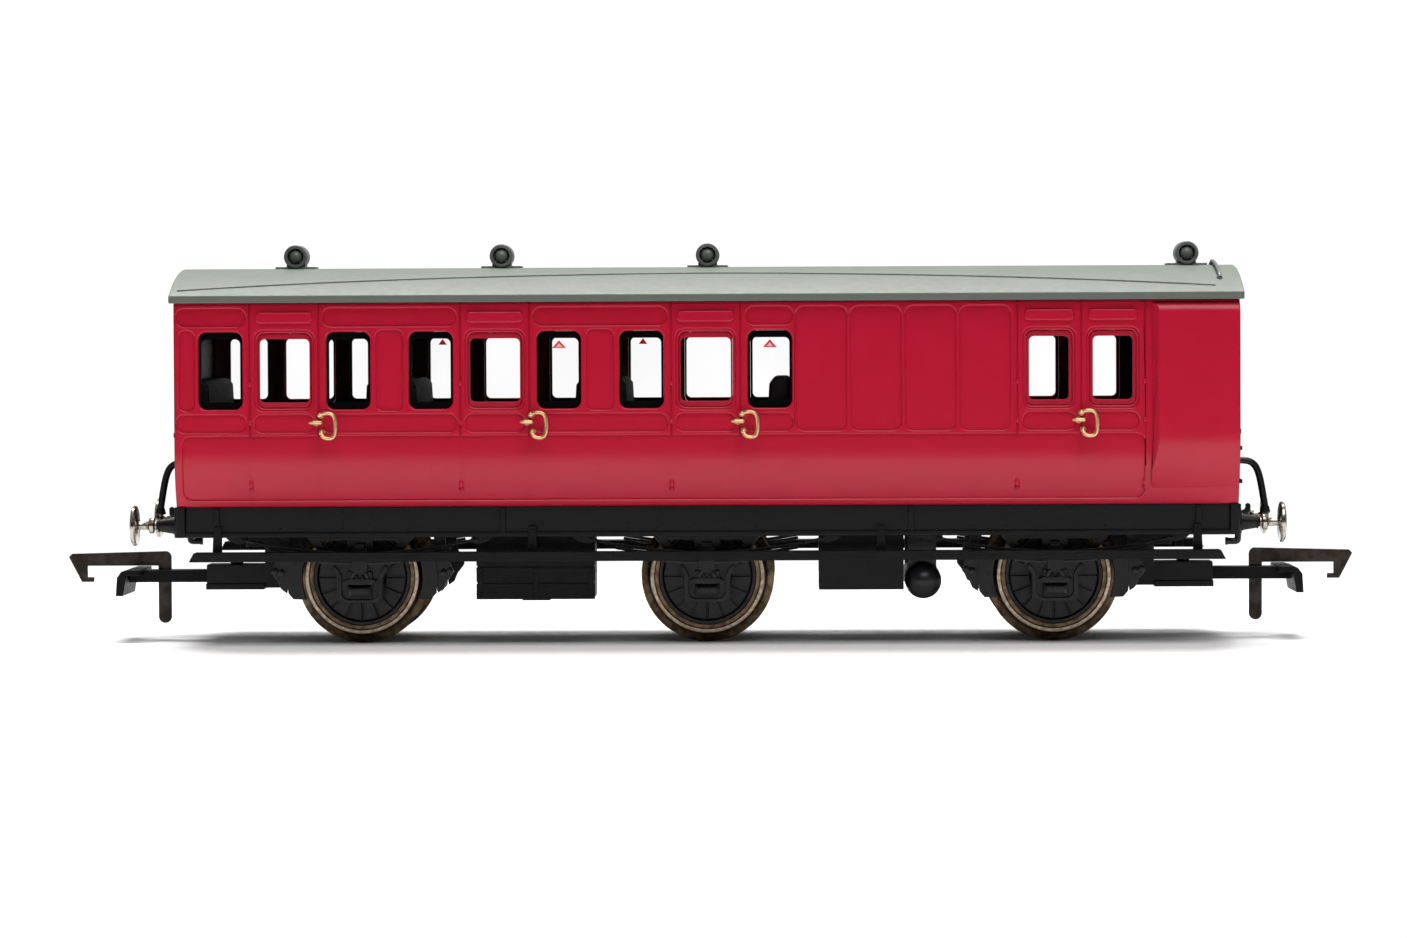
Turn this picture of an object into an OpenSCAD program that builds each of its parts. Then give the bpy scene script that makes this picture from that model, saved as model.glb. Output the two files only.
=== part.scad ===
// Six-wheel brake third passenger coach, a 4 mm scale model for 16.5 mm gauge track.
// +X points to the guard's end, -Y is the near side, +Z is up, and the wheel flanges
// stand on z = 0, midway between the coupling hooks.

/* [Body] */
// Length of the body over its end walls
body_l = 128; // [120:1:136]
// Width of the body over its sides
body_w = 32; // [31:0.5:33]
// Height of the bottom edge of the body
body_z = 16.8; // [16.6:0.1:17.4]
// Height of the eaves
eaves_z = 41.4; // [41:0.1:42.4]
// Height of the roof's crown
crown_z = 45.7; // [45:0.1:47]
// Thickness of the body walls
wall = 1.2; // [1:0.1:1.4]
// How far the beading stands off the panels
bead = 0.3; // [0.2:0.05:0.4]
// How far the sides curve in at the bottom
tumble = 1.8; // [1:0.1:2]

/* [Doors and windows] */
// Distance between the compartment doors
door_pitch = 25.35; // [25:0.05:25.6]
// Middle of the first compartment door
first_door_x = -50.7; // [-51:0.05:-50.4]
// Number of compartments
compartments = 3; // [3]
// Width of a compartment door's leaf
door_w = 8.3; // [8:0.1:8.6]
// Distance from a door's middle to the middle of a quarter window
quarter_dx = 7.7; // [7.5:0.05:7.9]
// Width of a quarter window
quarter_w = 5.3; // [5:0.1:5.6]
// Middle of the guard's double doors
guard_door_x = 45; // [44.6:0.05:45.4]
// Width of one leaf of the guard's doors
guard_leaf_w = 7.65; // [7.4:0.05:7.8]

/* [Running gear] */
// Distance between neighbouring axles
wheelbase = 42; // [40:0.5:43]
// Diameter of the wheel treads
tread_d = 14; // [13:0.1:14.2]
// Diameter of the wheel flanges
flange_d = 16.2; // [15:0.1:16.4]
// Distance between the wheels' inner faces
back_to_back = 14.5; // [14.3:0.05:14.6]
// Width of a wheel
wheel_w = 2.8; // [2.4:0.1:2.9]

/* [Ends] */
// Distance between the faces of the buffers
over_buffers = 140; // [136:1:144]
// Distance between the tips of the coupling hooks
over_hooks = 158.4; // [156:0.2:160]
// Distance between the middles of the two buffers
buffer_pitch = 22.6; // [22:0.1:23]

/* [Hidden] */
$fn = 48;

crimson = [0.64, 0.12, 0.2];
roof_grey = [0.7, 0.73, 0.67];
black_plastic = [0.1, 0.1, 0.1];
metal = [0.66, 0.65, 0.62];
dark_metal = [0.3, 0.27, 0.24];
brass = [0.8, 0.68, 0.38];
glass = [0.85, 0.9, 0.9, 0.4];
seat_brown = [0.25, 0.16, 0.12];

half_l = body_l / 2;
half_w = body_w / 2;

// The tumblehome is an arc that is upright at tumble_z.
tumble_z = 23.5;
tumble_h = tumble_z - body_z;
tumble_r = (tumble_h * tumble_h + tumble * tumble) / (2 * tumble);

// Doors, windows and panels, as [middle, width] along the body.
door_xs = [for (i = [0 : compartments - 1]) first_door_x + i * door_pitch];
guard_leaf_xs = [guard_door_x - guard_leaf_w / 2, guard_door_x + guard_leaf_w / 2];
quarters = [for (x = door_xs, s = [-1, 1]) [x + s * quarter_dx, quarter_w]];
door_panel_w = 7.1;
guard_panel_w = 6.2;
door_lights = concat(
    [for (x = door_xs) [x, door_panel_w]],
    [for (x = guard_leaf_xs) [x, guard_panel_w]]);
// Stretches of plain wall between the doors that the quarter windows pierce.
bay_edge = 4.65;
bays = concat(
    [[(-half_l + 0.3 + door_xs[0] - bay_edge) / 2, door_xs[0] - bay_edge + half_l - 0.3]],
    [for (i = [0 : compartments - 2])
        [(door_xs[i] + door_xs[i + 1]) / 2, door_pitch - 2 * bay_edge]],
    [[7.65, 5.6]]);
// Upright strips beside the windows.
strips = concat(
    [[-62.45, 1.8]],
    [for (i = [0 : compartments - 2]) [(door_xs[i] + door_xs[i + 1]) / 2, 3.2]]);
van_panels = 4;
van_x = 10.85;
van_pitch = 6.55;
van_w = 6.05;
vans = [for (i = [0 : van_panels - 1]) [van_x + van_w / 2 + i * van_pitch, van_w]];

// Bottom and top of each row of panels.
light_z = [28.45, 38.05];
quarter_z = [28.6, 37.9];
top_z = [38.6, 40.7];
waist_z = [25.85, 27.9];
van_z = [25.85, 40.7];
lower_z = [17.6, 25.3];
corner_r = 1.0;
bonnet_z = [38.9, 40.3];

// Clear glass inside each frame.
quarter_clear = [4.7, 7.6];
light_clear = [6, 7.6];
guard_clear = [4.75, 7.6];
light_mid_z = 33.25;

glaze_t = 0.5;

roof_half_w = 16.9;
roof_over = 0.5;
fascia_z = 42.3;
roof_t = 1.2;
roof_rise = crown_z - fascia_z;
roof_r = (roof_half_w * roof_half_w + roof_rise * roof_rise) / (2 * roof_rise);

// Where the ducket's splayed return leaves the side, and where its face begins.
duck_x = [53.4, 54.3];
duck_out = 1;
duck_z = [18.7, 25.5, 41.3];
duck_foot_in = 1.9;
duck_foot_h = duck_z[1] - duck_z[0];
duck_foot_r = (duck_foot_h * duck_foot_h + duck_foot_in * duck_foot_in) / (2 * duck_foot_in);
duck_top_r = 1.6;

axle_z = flange_d / 2;
axle_xs = [-wheelbase, 0, wheelbase];
wheel_in = back_to_back / 2;
wheel_out = wheel_in + wheel_w;
flange_t = 0.85;
tyre_in_r = 5.95;
axle_r = 1;
journal_r = 0.75;
bearing_r = 0.8;
journal_y = 12.9;

chassis_z = [15.8, 16.8];
chassis_half_w = 13;
solebar_z = 13.1;
solebar_y = [13, 13.8];
guard_y = [11.7, 12.6];
box_y = 13.7;
board_z = [10.3, 11.4];
board_y = [14.7, 17.5];
board_half_l = 62.2;
headstock_x = [63, 64.3];
headstock_half_w = 14.4;

box_top = 9;
// Height of the master leaf's upper face at its middle and at its ends.
spring_z = [11.3, 12.9];
spring_half_l = 13.9;
leaves = 4;
leaf_t = 0.4;
leaf_step = 3;
spring_sag = spring_z[1] - spring_z[0];
spring_r = (spring_half_l * spring_half_l + spring_sag * spring_sag) / (2 * spring_sag);

pivot_x = 67.4;
pivot_z = 7.9;
pivot_r = 0.35;
hook_t = 0.5;

// Extrudes a y-z outline along x.
module along_x(from, to) {
    translate([from, 0, 0]) rotate([90, 0, 90]) linear_extrude(to - from) children();
}

// Extrudes an x-z outline along y.
module along_y(from, to) {
    translate([0, to, 0]) rotate([90, 0, 0]) linear_extrude(to - from) children();
}

// Round bar along y.
module bar_y(r, from, to) {
    translate([0, from, 0]) rotate([-90, 0, 0]) cylinder(r = r, h = to - from);
}

// Round bar along x.
module bar_x(r, from, to) {
    translate([from, 0, 0]) rotate([0, 90, 0]) cylinder(r = r, h = to - from);
}

module block(low, high) {
    translate(low) cube(high - low);
}

// Rectangle with rounded corners, from low to high.
module rounded(low, high, r) {
    translate([low[0] + r, low[1]]) square([high[0] - low[0] - 2 * r, high[1] - low[1]]);
    translate([low[0], low[1] + r]) square([high[0] - low[0], high[1] - low[1] - 2 * r]);
    for (x = [low[0] + r, high[0] - r], y = [low[1] + r, high[1] - r])
        translate([x, y]) circle(r);
}

// Rounded outline of a panel or light, given as [middle, width] and [bottom, top].
module panel(xw, z, r = corner_r) {
    rounded([xw[0] - xw[1] / 2, z[0]], [xw[0] + xw[1] / 2, z[1]], r);
}

// The near wall's section between two depths behind its outer face.
module wall_section(outer, inner, top = eaves_z) {
    translate([outer - half_w, tumble_z]) square([inner - outer, top - tumble_z]);
    intersection() {
        translate([tumble_r - half_w, tumble_z]) difference() {
            circle(tumble_r - outer, $fn = 96);
            circle(tumble_r - inner, $fn = 96);
        }
        translate([-half_w, body_z]) square([tumble + wall + 1, tumble_h]);
    }
}

// Whole body section, to a depth behind the outer face and up to the roof's underside.
module body_section(depth) {
    intersection() {
        union() {
            translate([depth - half_w, tumble_z])
                square([body_w - 2 * depth, eaves_z - tumble_z]);
            for (s = [-1, 1]) intersection() {
                translate([s * (tumble_r - half_w), tumble_z])
                    circle(tumble_r - depth, $fn = 96);
                translate([s < 0 ? 0 : -half_w, body_z]) square([half_w, tumble_h]);
            }
        }
        translate([-half_w, body_z]) square([body_w, eaves_z - body_z]);
    }
}

module panel_cuts() {
    along_y(-half_w - 2, -half_w + bead + 0.2) {
        for (b = bays) {
            panel(b, top_z);
            panel(b, waist_z, 0.9);
        }
        for (d = door_lights) panel(d, waist_z, 0.9);
        for (s = strips) panel(s, light_z, 0.8);
        for (v = vans) panel(v, van_z);
        for (d = door_lights) panel(d, light_z);
    }
}

module lower_panel_cuts() {
    along_y(-half_w - 2, -half_w + tumble + 1)
        panel([-5.2, 115.6], lower_z);
}

module light_holes() {
    along_y(-half_w - 1, 0) {
        for (q = quarters) panel(q, quarter_z);
        for (d = door_lights) panel([d[0], d[1] - 0.6], [light_z[0] + 0.3, light_z[1] - 0.3], 0.9);
    }
}

// Vertical joints round the door leaves, hinges and ventilator bonnets.
module door_joints() {
    joint_w = 0.2;
    for (x = door_xs, s = [-1, 1])
        translate([x + s * door_w / 2 - joint_w / 2, -half_w - 1, body_z - 1])
            cube([joint_w, 1 + bead / 2, eaves_z - body_z + 2]);
    for (i = [-1, 0, 1])
        translate([guard_door_x + i * guard_leaf_w - joint_w / 2, -half_w - 1, body_z - 1])
            cube([joint_w, 1 + bead / 2, eaves_z - body_z + 2]);
}

module bonnets() {
    along_y(-half_w - 0.35, -half_w + 0.2)
        for (d = door_lights) panel([d[0], d[1] - 0.3], bonnet_z, 0.5);
}

module near_wall() {
    difference() {
        union() {
            along_x(-half_l, half_l) wall_section(bead, wall);
            difference() {
                along_x(-half_l, half_l) wall_section(0, bead + 0.1);
                panel_cuts();
                lower_panel_cuts();
                door_joints();
            }
            bonnets();
        }
        light_holes();
    }
}

module near_side() {
    color(crimson) near_wall();
}

module far_side() {
    color(crimson) mirror([0, 1, 0]) near_wall();
}

// End walls fit between the sides and rise into the roof.
module end_wall() {
    along_x(half_l - wall, half_l) {
        body_section(wall);
        intersection() {
            translate([0, crown_z - roof_r]) circle(roof_r - roof_t - 0.02, $fn = 180);
            translate([-half_w + wall + 0.05, eaves_z - 0.5]) square([body_w - 2 * wall - 0.1, 6]);
        }
    }
}

module end_beads() {
    along_x(half_l, half_l + bead) {
        for (y = [-9.5, -3.2, 3.2, 9.5]) translate([y - 0.3, 25.5]) square([0.6, 15.5]);
        translate([-14.4, 25.2]) square([28.8, 0.6]);
    }
}

module compartment_end() {
    color(black_plastic) mirror([1, 0, 0]) {
        end_wall();
        end_beads();
    }
}

step_w = 2.4;
step_out = 0.6;

module guards_end() {
    color(black_plastic) {
        end_wall();
        end_beads();
        // Steps to the roof.
        for (s = [[-12.6, 19.2], [-12.6, 23.2], [-8.4, 28.2], [-8.4, 33.2]])
            block([half_l, s[0], s[1]], [half_l + step_out, s[0] + step_w, s[1] + 0.5]);
    }
}

// The ducket's section: round top edge, upright face and a foot that curves in to the side.
module ducket_section() {
    face = -half_w - duck_out;
    translate([face + duck_top_r, duck_z[2] - duck_top_r]) circle(duck_top_r);
    translate([face + duck_top_r, duck_z[1]]) square([3, duck_z[2] - duck_z[1]]);
    translate([face, duck_z[1]]) square([3, duck_z[2] - duck_top_r - duck_z[1]]);
    intersection() {
        translate([face + duck_foot_r, duck_z[1]]) circle(duck_foot_r, $fn = 96);
        translate([face, duck_z[0]]) square([4, duck_foot_h]);
    }
}

// Guard's lookout, a shallow box against the side with a splayed return.
module ducket_body() {
    difference() {
        intersection() {
            along_x(duck_x[0], half_l) ducket_section();
            linear_extrude(60) polygon([
                [duck_x[0], -half_w], [duck_x[1], -half_w - duck_out],
                [half_l, -half_w - duck_out], [half_l, -half_w + 3], [duck_x[0], -half_w + 3]]);
        }
        along_x(duck_x[0] - 1, half_l + 1) body_section(0);
    }
}

module near_ducket() {
    color(crimson) ducket_body();
}

module far_ducket() {
    color(crimson) mirror([0, 1, 0]) ducket_body();
}

module roof() {
    color(roof_grey) difference() {
        along_x(-half_l - roof_over, half_l + roof_over) intersection() {
            translate([0, crown_z - roof_r]) circle(roof_r, $fn = 180);
            translate([-roof_half_w, eaves_z]) square([2 * roof_half_w, 6]);
        }
        along_x(-half_l, half_l) intersection() {
            translate([0, crown_z - roof_r]) circle(roof_r - roof_t, $fn = 180);
            translate([-half_w + wall, eaves_z - 1]) square([body_w - 2 * wall, 6]);
        }
    }
}

vent_xs = concat(door_xs, [58.8]);
vent_r = 1.45;
vent_z = 47.15;

// Torpedo ventilator lying across the roof on a thin base.
module roof_ventilators() {
    color(black_plastic) difference() {
        for (x = vent_xs) translate([x, 0, 0]) {
            block([-2.5, -1.6, crown_z - 0.3], [2.5, 1.6, crown_z + 0.25]);
            translate([0, 0, vent_z]) {
                difference() {
                    bar_y(vent_r, -2, 2);
                    bar_y(vent_r - 0.4, -3, -1.2);
                    bar_y(vent_r - 0.4, 1.2, 3);
                }
                for (s = [-1, 1]) translate([0, s * 1.3, 0]) sphere(0.85);
            }
        }
        along_x(-half_l, half_l)
            translate([0, crown_z - roof_r]) circle(roof_r, $fn = 180);
    }
}

rail_x = 61.9;
rail_r = 0.22;
rail_gap = 0.5;
rail_angle = 17;

// Grab rail over the near half of the roof, standing on two feet.
module roof_handrail() {
    centre_z = crown_z - roof_r;
    color(dark_metal) translate([rail_x, 0, centre_z]) {
        rotate([0, -90, 180]) rotate_extrude(angle = rail_angle, $fn = 180)
            translate([roof_r + rail_gap, 0]) circle(rail_r);
        for (a = [1, rail_angle - 1]) rotate([a, 0, 0]) translate([0, 0, roof_r])
            cylinder(r = rail_r - 0.05, h = rail_gap);
    }
}

// A frame set in a window opening, flush with the wall's inner face.
module frame(xw, z, r, clear) {
    gap = 0.03;
    along_y(-half_w + bead + 0.25, -half_w + wall) difference() {
        panel([xw[0], xw[1] - 2 * gap], [z[0] + gap, z[1] - gap], r - gap);
        panel([xw[0], clear[0]], [light_mid_z - clear[1] / 2, light_mid_z + clear[1] / 2], 0.6);
    }
}

module window_frames() {
    color(black_plastic) for (s = [0, 1]) mirror([0, s, 0])
        for (q = quarters) frame(q, quarter_z, corner_r, quarter_clear);
}

module droplight_frames() {
    color(crimson) for (s = [0, 1]) mirror([0, s, 0]) {
        z = [light_z[0] + 0.3, light_z[1] - 0.3];
        for (x = door_xs) frame([x, door_panel_w - 0.6], z, 0.9, light_clear);
        for (x = guard_leaf_xs) frame([x, guard_panel_w - 0.6], z, 0.9, guard_clear);
    }
}

module glazing() {
    block([-62.6, -half_w + wall, 27.8], [11.5, -half_w + wall + glaze_t, 38.9]);
    block([36.5, -half_w + wall, 27.8], [53.2, -half_w + wall + glaze_t, 38.9]);
}

module near_glazing() {
    color(glass) glazing();
}

module far_glazing() {
    color(glass) mirror([0, 1, 0]) glazing();
}

module chassis_plate() {
    color(black_plastic) difference() {
        block([-headstock_x[0], -chassis_half_w, chassis_z[0]],
            [headstock_x[0], chassis_half_w, chassis_z[1]]);
        for (x = axle_xs, s = [-1, 1])
            translate([x, s * (wheel_in + wheel_w / 2), 0])
                block([-5.5, -2.1, 10], [5.5, 2.1, 20]);
    }
}

// Stretchers under both ends of the frame, either side of the coupling sockets.
module end_stretchers() {
    color(black_plastic) for (m = [0, 1], n = [0, 1]) mirror([m, 0, 0]) mirror([0, n, 0])
        block([47.5, 2.3, 11.6], [56.5, 6.4, chassis_z[0]]);
}

ballast_z = 18.3;
floor_z = 19;

module ballast_weight() {
    color(metal) block([-52, -10.5, chassis_z[1]], [52, 10.5, ballast_z]);
}

module interior_floor() {
    color(seat_brown) block([-62.6, -13.2, ballast_z], [62.6, 13.2, floor_z]);
}

partition_t = 1;
partition_xs = [-38.05, -12.7, 10.6];
inner_w = half_w - wall - glaze_t - 0.2;

module partitions() {
    color(seat_brown) for (x = partition_xs)
        block([x - partition_t / 2, -inner_w, floor_z + 5], [x + partition_t / 2, inner_w, 40.8]);
}

// Bench seat with its back at x = 0, facing +X.
module bench() {
    along_y(-inner_w + 1, inner_w - 1) polygon([
        [0, floor_z], [6, floor_z], [6.4, 24.2], [2.9, 24.2], [2.5, 31.4], [1.9, 32.2], [0, 32.2]]);
}

module seats() {
    color(seat_brown) {
        translate([-half_l + wall + 0.1, 0, 0]) bench();
        for (x = partition_xs) {
            translate([x - partition_t / 2, 0, 0]) mirror([1, 0, 0]) bench();
            if (x < 0) translate([x + partition_t / 2, 0, 0]) bench();
        }
    }
}

handle_z = 27;
handle_dx = 3.85;
grab_dx = 5.25;

// T-shaped door handle: a short shank with a bar across its end.
module t_handle(x) {
    translate([x, -half_w, handle_z]) {
        bar_y(0.3, -0.7, 0);
        translate([0, -0.9, 0]) bar_x(0.27, -0.7, 0.7);
    }
}

module near_handles() {
    for (x = door_xs) t_handle(x + handle_dx);
    t_handle(guard_door_x - 0.3);
}

module door_handles() {
    color(brass) {
        near_handles();
        mirror([0, 1, 0]) {
            for (x = door_xs) t_handle(x - handle_dx);
            t_handle(guard_door_x + 0.3);
        }
    }
}

// Upright grab handle that stands off the side on two feet.
module grab(x) {
    wire = 0.24;
    for (z = [25, 28.1]) translate([x, -half_w, z]) bar_y(wire, -1, 0);
    translate([x, -half_w - 1, 25]) sphere(wire);
    translate([x, -half_w - 1, 28.1]) sphere(wire);
    translate([x, -half_w - 1, 25]) cylinder(r = wire, h = 3.1);
}

module grab_handles() {
    color(brass) {
        for (x = door_xs) grab(x + grab_dx);
        grab(guard_door_x + 0.9);
        mirror([0, 1, 0]) {
            for (x = door_xs) grab(x - grab_dx);
            grab(guard_door_x - 0.9);
        }
    }
}

// Channel-shaped frame member with its web outwards.
module solebar() {
    l = headstock_x[0];
    block([-l, -solebar_y[1], solebar_z], [l, -solebar_y[0], chassis_z[1]]);
    block([-l, -14.4, solebar_z], [l, -solebar_y[1], solebar_z + 0.6]);
    for (x = [-59.2, -24.6, 24.6, 59.2])
        block([x - 0.3, -14.2, solebar_z + 0.6], [x + 0.3, -solebar_y[1], chassis_z[1] - 0.1]);
}

module near_solebar() {
    color(black_plastic) solebar();
}

module far_solebar() {
    color(black_plastic) mirror([0, 1, 0]) solebar();
}

hanger_xs = [-59.05, -21, 21, 59.05];

// Running board with sloped ends, on straps that hang from the solebar.
module footboard() {
    slope = 1;
    along_y(-board_y[1], -board_y[0]) polygon([
        [-board_half_l, board_z[0]], [board_half_l, board_z[0]],
        [board_half_l - slope, board_z[1]], [-board_half_l + slope, board_z[1]]]);
    for (x = hanger_xs) {
        block([x - 0.6, -board_y[0], board_z[0]], [x + 0.6, -14.4, 14.4]);
        block([x - 0.6, -14.4, board_z[0]], [x + 0.6, -13.8, solebar_z]);
    }
}

module near_footboard() {
    color(black_plastic) footboard();
}

module far_footboard() {
    color(black_plastic) mirror([0, 1, 0]) footboard();
}

// Axleguards carry the axles' journals, with the keep and the axlebox on their outer faces.
module axleguards() {
    for (x = axle_xs) translate([x, 0, 0]) difference() {
        union() {
            along_y(-guard_y[1], -guard_y[0]) difference() {
                polygon([
                    [-2.8, 5.1], [2.8, 5.1], [2.8, 8.2], [6.6, 13.2], [6.6, chassis_z[0]],
                    [-6.6, chassis_z[0]], [-6.6, 13.2], [-2.8, 8.2]]);
                for (s = [-1, 1]) polygon([[s * 1.6, 10], [s * 1.6, 12.6], [s * 4.8, 12.6], [s * 3, 10]]);
            }
            along_y(-guard_y[1] - 0.3, -guard_y[1]) difference() {
                rounded([-2.8, 5.1], [2.8, 8.8], 0.6);
                translate([-2.4, 5.5]) square([4.8, 4]);
            }
            along_y(-guard_y[1] - 0.7, -guard_y[1]) translate([-1.6, 5.7]) square([3.2, box_top - 5.7]);
            along_y(-box_y, -guard_y[1]) {
                translate([-1.3, 5.7]) square([2.6, 1.6]);
                polygon([[-2.05, 7.7], [-1.3, 7.3], [1.3, 7.3], [2.05, 7.7], [1.3, 8.1], [-1.3, 8.1]]);
            }
        }
        translate([0, 0, axle_z]) bar_y(bearing_r, -journal_y - 0.15, 0);
    }
}

module near_axleguards() {
    color(black_plastic) axleguards();
}

module far_axleguards() {
    color(black_plastic) mirror([0, 1, 0]) axleguards();
}

// Leaf spring on the axlebox, hung from the solebar by a shackle at each end.
module springs() {
    for (x = axle_xs) translate([x, 0, 0]) {
        along_y(-box_y + 0.1, -guard_y[1] - 0.1) for (leaf = [0 : leaves - 1]) intersection() {
            translate([0, spring_z[0] + spring_r]) difference() {
                circle(spring_r + (leaf + 1) * leaf_t, $fn = 180);
                circle(spring_r + leaf * leaf_t, $fn = 180);
            }
            translate([-spring_half_l + leaf * leaf_step, spring_z[0] - 3])
                square([2 * (spring_half_l - leaf * leaf_step), 6]);
        }
        along_y(-box_y, -guard_y[1] - 0.1) {
            translate([-0.9, box_top]) square([1.8, spring_z[0] + 0.4 - box_top]);
            for (s = [-1, 1]) translate([s * spring_half_l - 0.5, spring_z[1] - 0.6])
                square([1, solebar_z - spring_z[1] + 0.6]);
        }
    }
}

module near_springs() {
    color(black_plastic) springs();
}

module far_springs() {
    color(black_plastic) mirror([0, 1, 0]) springs();
}

module headstocks() {
    color(black_plastic) for (m = [0, 1]) mirror([m, 0, 0])
        block([headstock_x[0], -headstock_half_w, solebar_z],
            [headstock_x[1], headstock_half_w, chassis_z[1]]);
}

buffer_z = 14.5;
housing_x = 66.6;

module buffer_housings() {
    color(black_plastic) for (m = [0, 1], s = [-1, 1]) mirror([m, 0, 0])
        translate([headstock_x[1], s * buffer_pitch / 2, buffer_z]) rotate([0, 90, 0])
            cylinder(r1 = 1, r2 = 0.7, h = housing_x - headstock_x[1]);
}

// Turned buffer: shank with a collar and a round head.
module buffers() {
    face = over_buffers / 2;
    color(metal) for (m = [0, 1], s = [-1, 1]) mirror([m, 0, 0])
        translate([0, s * buffer_pitch / 2, buffer_z]) {
            bar_x(0.34, housing_x, face - 0.5);
            bar_x(0.95, 67.1, 67.7);
            bar_x(2.45, face - 1, face - 0.3);
            translate([face - 0.3, 0, 0]) rotate([0, 90, 0]) cylinder(r1 = 2.45, r2 = 1.4, h = 0.3);
        }
}

module draw_hooks() {
    color(black_plastic) for (m = [0, 1]) mirror([m, 0, 0])
        along_y(-0.4, 0.4) polygon([
            [headstock_x[1], 14.6], [65.6, 14.6], [66.5, 15.2], [66.5, 16.3], [65.9, 16.3],
            [65.7, 15.5], [headstock_x[1], 15.6]]);
}

pipe_r = 0.45;

// Brake pipe: out of the end wall, over a bend and down to a flared mouth.
module brake_pipes() {
    top = 21.7;
    bend = 2.2;
    out = 68.2;
    mouth = [15.3, 16];
    color(black_plastic) for (turn = [0, 180]) rotate([0, 0, turn]) translate([0, -3, 0]) {
        translate([0, 0, top]) bar_x(pipe_r, half_l + bead, out - bend);
        translate([out - bend, 0, top - bend]) rotate([90, 0, 0])
            rotate_extrude(angle = 90) translate([bend, 0]) circle(pipe_r);
        translate([out, 0, mouth[1]]) cylinder(r = pipe_r, h = top - bend - mouth[1]);
        translate([out, 0, mouth[0]]) cylinder(r1 = 0.65, r2 = pipe_r, h = mouth[1] - mouth[0]);
    }
}

steam_r = 0.4;

// Steam heating pipe: down the front of the headstock and back under it.
module steam_pipes() {
    out = headstock_x[1] + steam_r + 0.05;
    low = 11.9;
    color(black_plastic) for (turn = [0, 180]) rotate([0, 0, turn]) translate([0, -4.8, 0]) {
        translate([out, 0, low]) cylinder(r = steam_r, h = 14.6 - low);
        translate([out, 0, low]) sphere(steam_r);
        translate([0, 0, low]) bar_x(steam_r, 63.2, out);
        // Clip on the headstock.
        block([headstock_x[1], -0.3, 13.8], [out, 0.3, 14.3]);
    }
}

module battery_box() {
    color(black_plastic) difference() {
        union() {
            block([-28, -11.4, 5.4], [-13.6, -3, 13]);
            for (x = [-26.2, -15.4]) block([x - 0.5, -11, 13], [x + 0.5, -9.5, chassis_z[0]]);
        }
        for (z = [7.4, 9.4]) block([-29, -12, z - 0.1], [-13, -11.2, z + 0.1]);
    }
}

module equipment_box() {
    color(black_plastic) {
        block([13.5, -10.6, 6.4], [23.8, -2, 13]);
        for (x = [14.6, 22.6]) block([x - 0.5, -10, 13], [x + 0.5, -8.5, chassis_z[0]]);
    }
}

// Gas cylinder across the frame, with domed ends.
module gas_cylinder() {
    color(black_plastic) translate([26.2, 0, 7.44]) {
        bar_y(2.2, -9.5, 9.5);
        for (s = [-1, 1]) translate([0, s * 9.5, 0]) intersection() {
            translate([0, -s * 1.8, 0]) sphere(2.84);
            block([-3, s < 0 ? -3 : 0, -3], [3, s < 0 ? 0 : 3, 3]);
        }
        // Hanger plates on its top.
        for (y = [-8, 8]) block([-1.9, y - 0.4, 0.9], [1.6, y + 0.4, chassis_z[0] - 7.44]);
    }
}

// Brake blocks hang on both sides of the outer wheels, each with its hanger and lug.
module brake_gear() {
    color(black_plastic) for (x = [-wheelbase, wheelbase], m = [0, 1], n = [0, 1])
        translate([x, 0, 0]) mirror([m, 0, 0]) mirror([0, n, 0]) {
            along_y(-9.9, -8.5) difference() {
                polygon([[6, 10.4], [6, 5.3], [8.3, 5.3], [9, 5.8], [9, 10.4]]);
                translate([0, axle_z]) circle(tread_d / 2 + 0.35, $fn = 120);
            }
            along_y(-9.6, -9) polygon([
                [9, 5.8], [9.6, 6], [10.3, 7.3], [11, 8.2], [11, 9], [10.3, 10], [10, chassis_z[0]],
                [8.6, chassis_z[0]], [8.9, 10.4], [9, 10.4]]);
        }
}

// Sockets under the frame ends that hold the couplings.
module coupling_pockets() {
    color(black_plastic) for (m = [0, 1]) mirror([m, 0, 0]) difference() {
        union() {
            block([54.6, -2.1, 6.9], [62, 2.1, 9.3]);
            block([54.6, -2.3, 6.2], [62, 2.3, 6.9]);
            block([50.5, -2.1, 6.4], [54.6, 2.1, chassis_z[0]]);
        }
        block([56.5, -1.6, 7.1], [63, 1.6, 8.6]);
    }
}

bar_end_x = 72.7;
bar_t = 0.9;
bar_half_w = 5.5;
bar_z = [7.1, 8.6];
slot_x = [65.9, 71.4];
slot_half_w = 0.35;

// Coupling bar: a shank slotted for the hook, and a bumper across its front.
module coupling_bars() {
    color(black_plastic) for (m = [0, 1]) mirror([m, 0, 0]) difference() {
        union() {
            block([56.6, -1.55, bar_z[0]], [bar_end_x - bar_t, 1.55, bar_z[1]]);
            along_y(-bar_half_w, bar_half_w) polygon([
                [bar_end_x - 3, bar_z[1] - 0.5], [bar_end_x - bar_t - 0.4, bar_z[1] - 0.5],
                [bar_end_x - bar_t, 5.6], [bar_end_x, 5.6], [bar_end_x - 0.15, 7.9],
                [bar_end_x - 0.7, 8.6], [bar_end_x - 1.4, 8.8], [bar_end_x - 3, 8.8]]);
        }
        block([slot_x[0], -slot_half_w, 5], [slot_x[1], slot_half_w, 10]);
        translate([pivot_x, 0, pivot_z]) bar_y(pivot_r + 0.05, -1.2, 1.2);
    }
}

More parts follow.
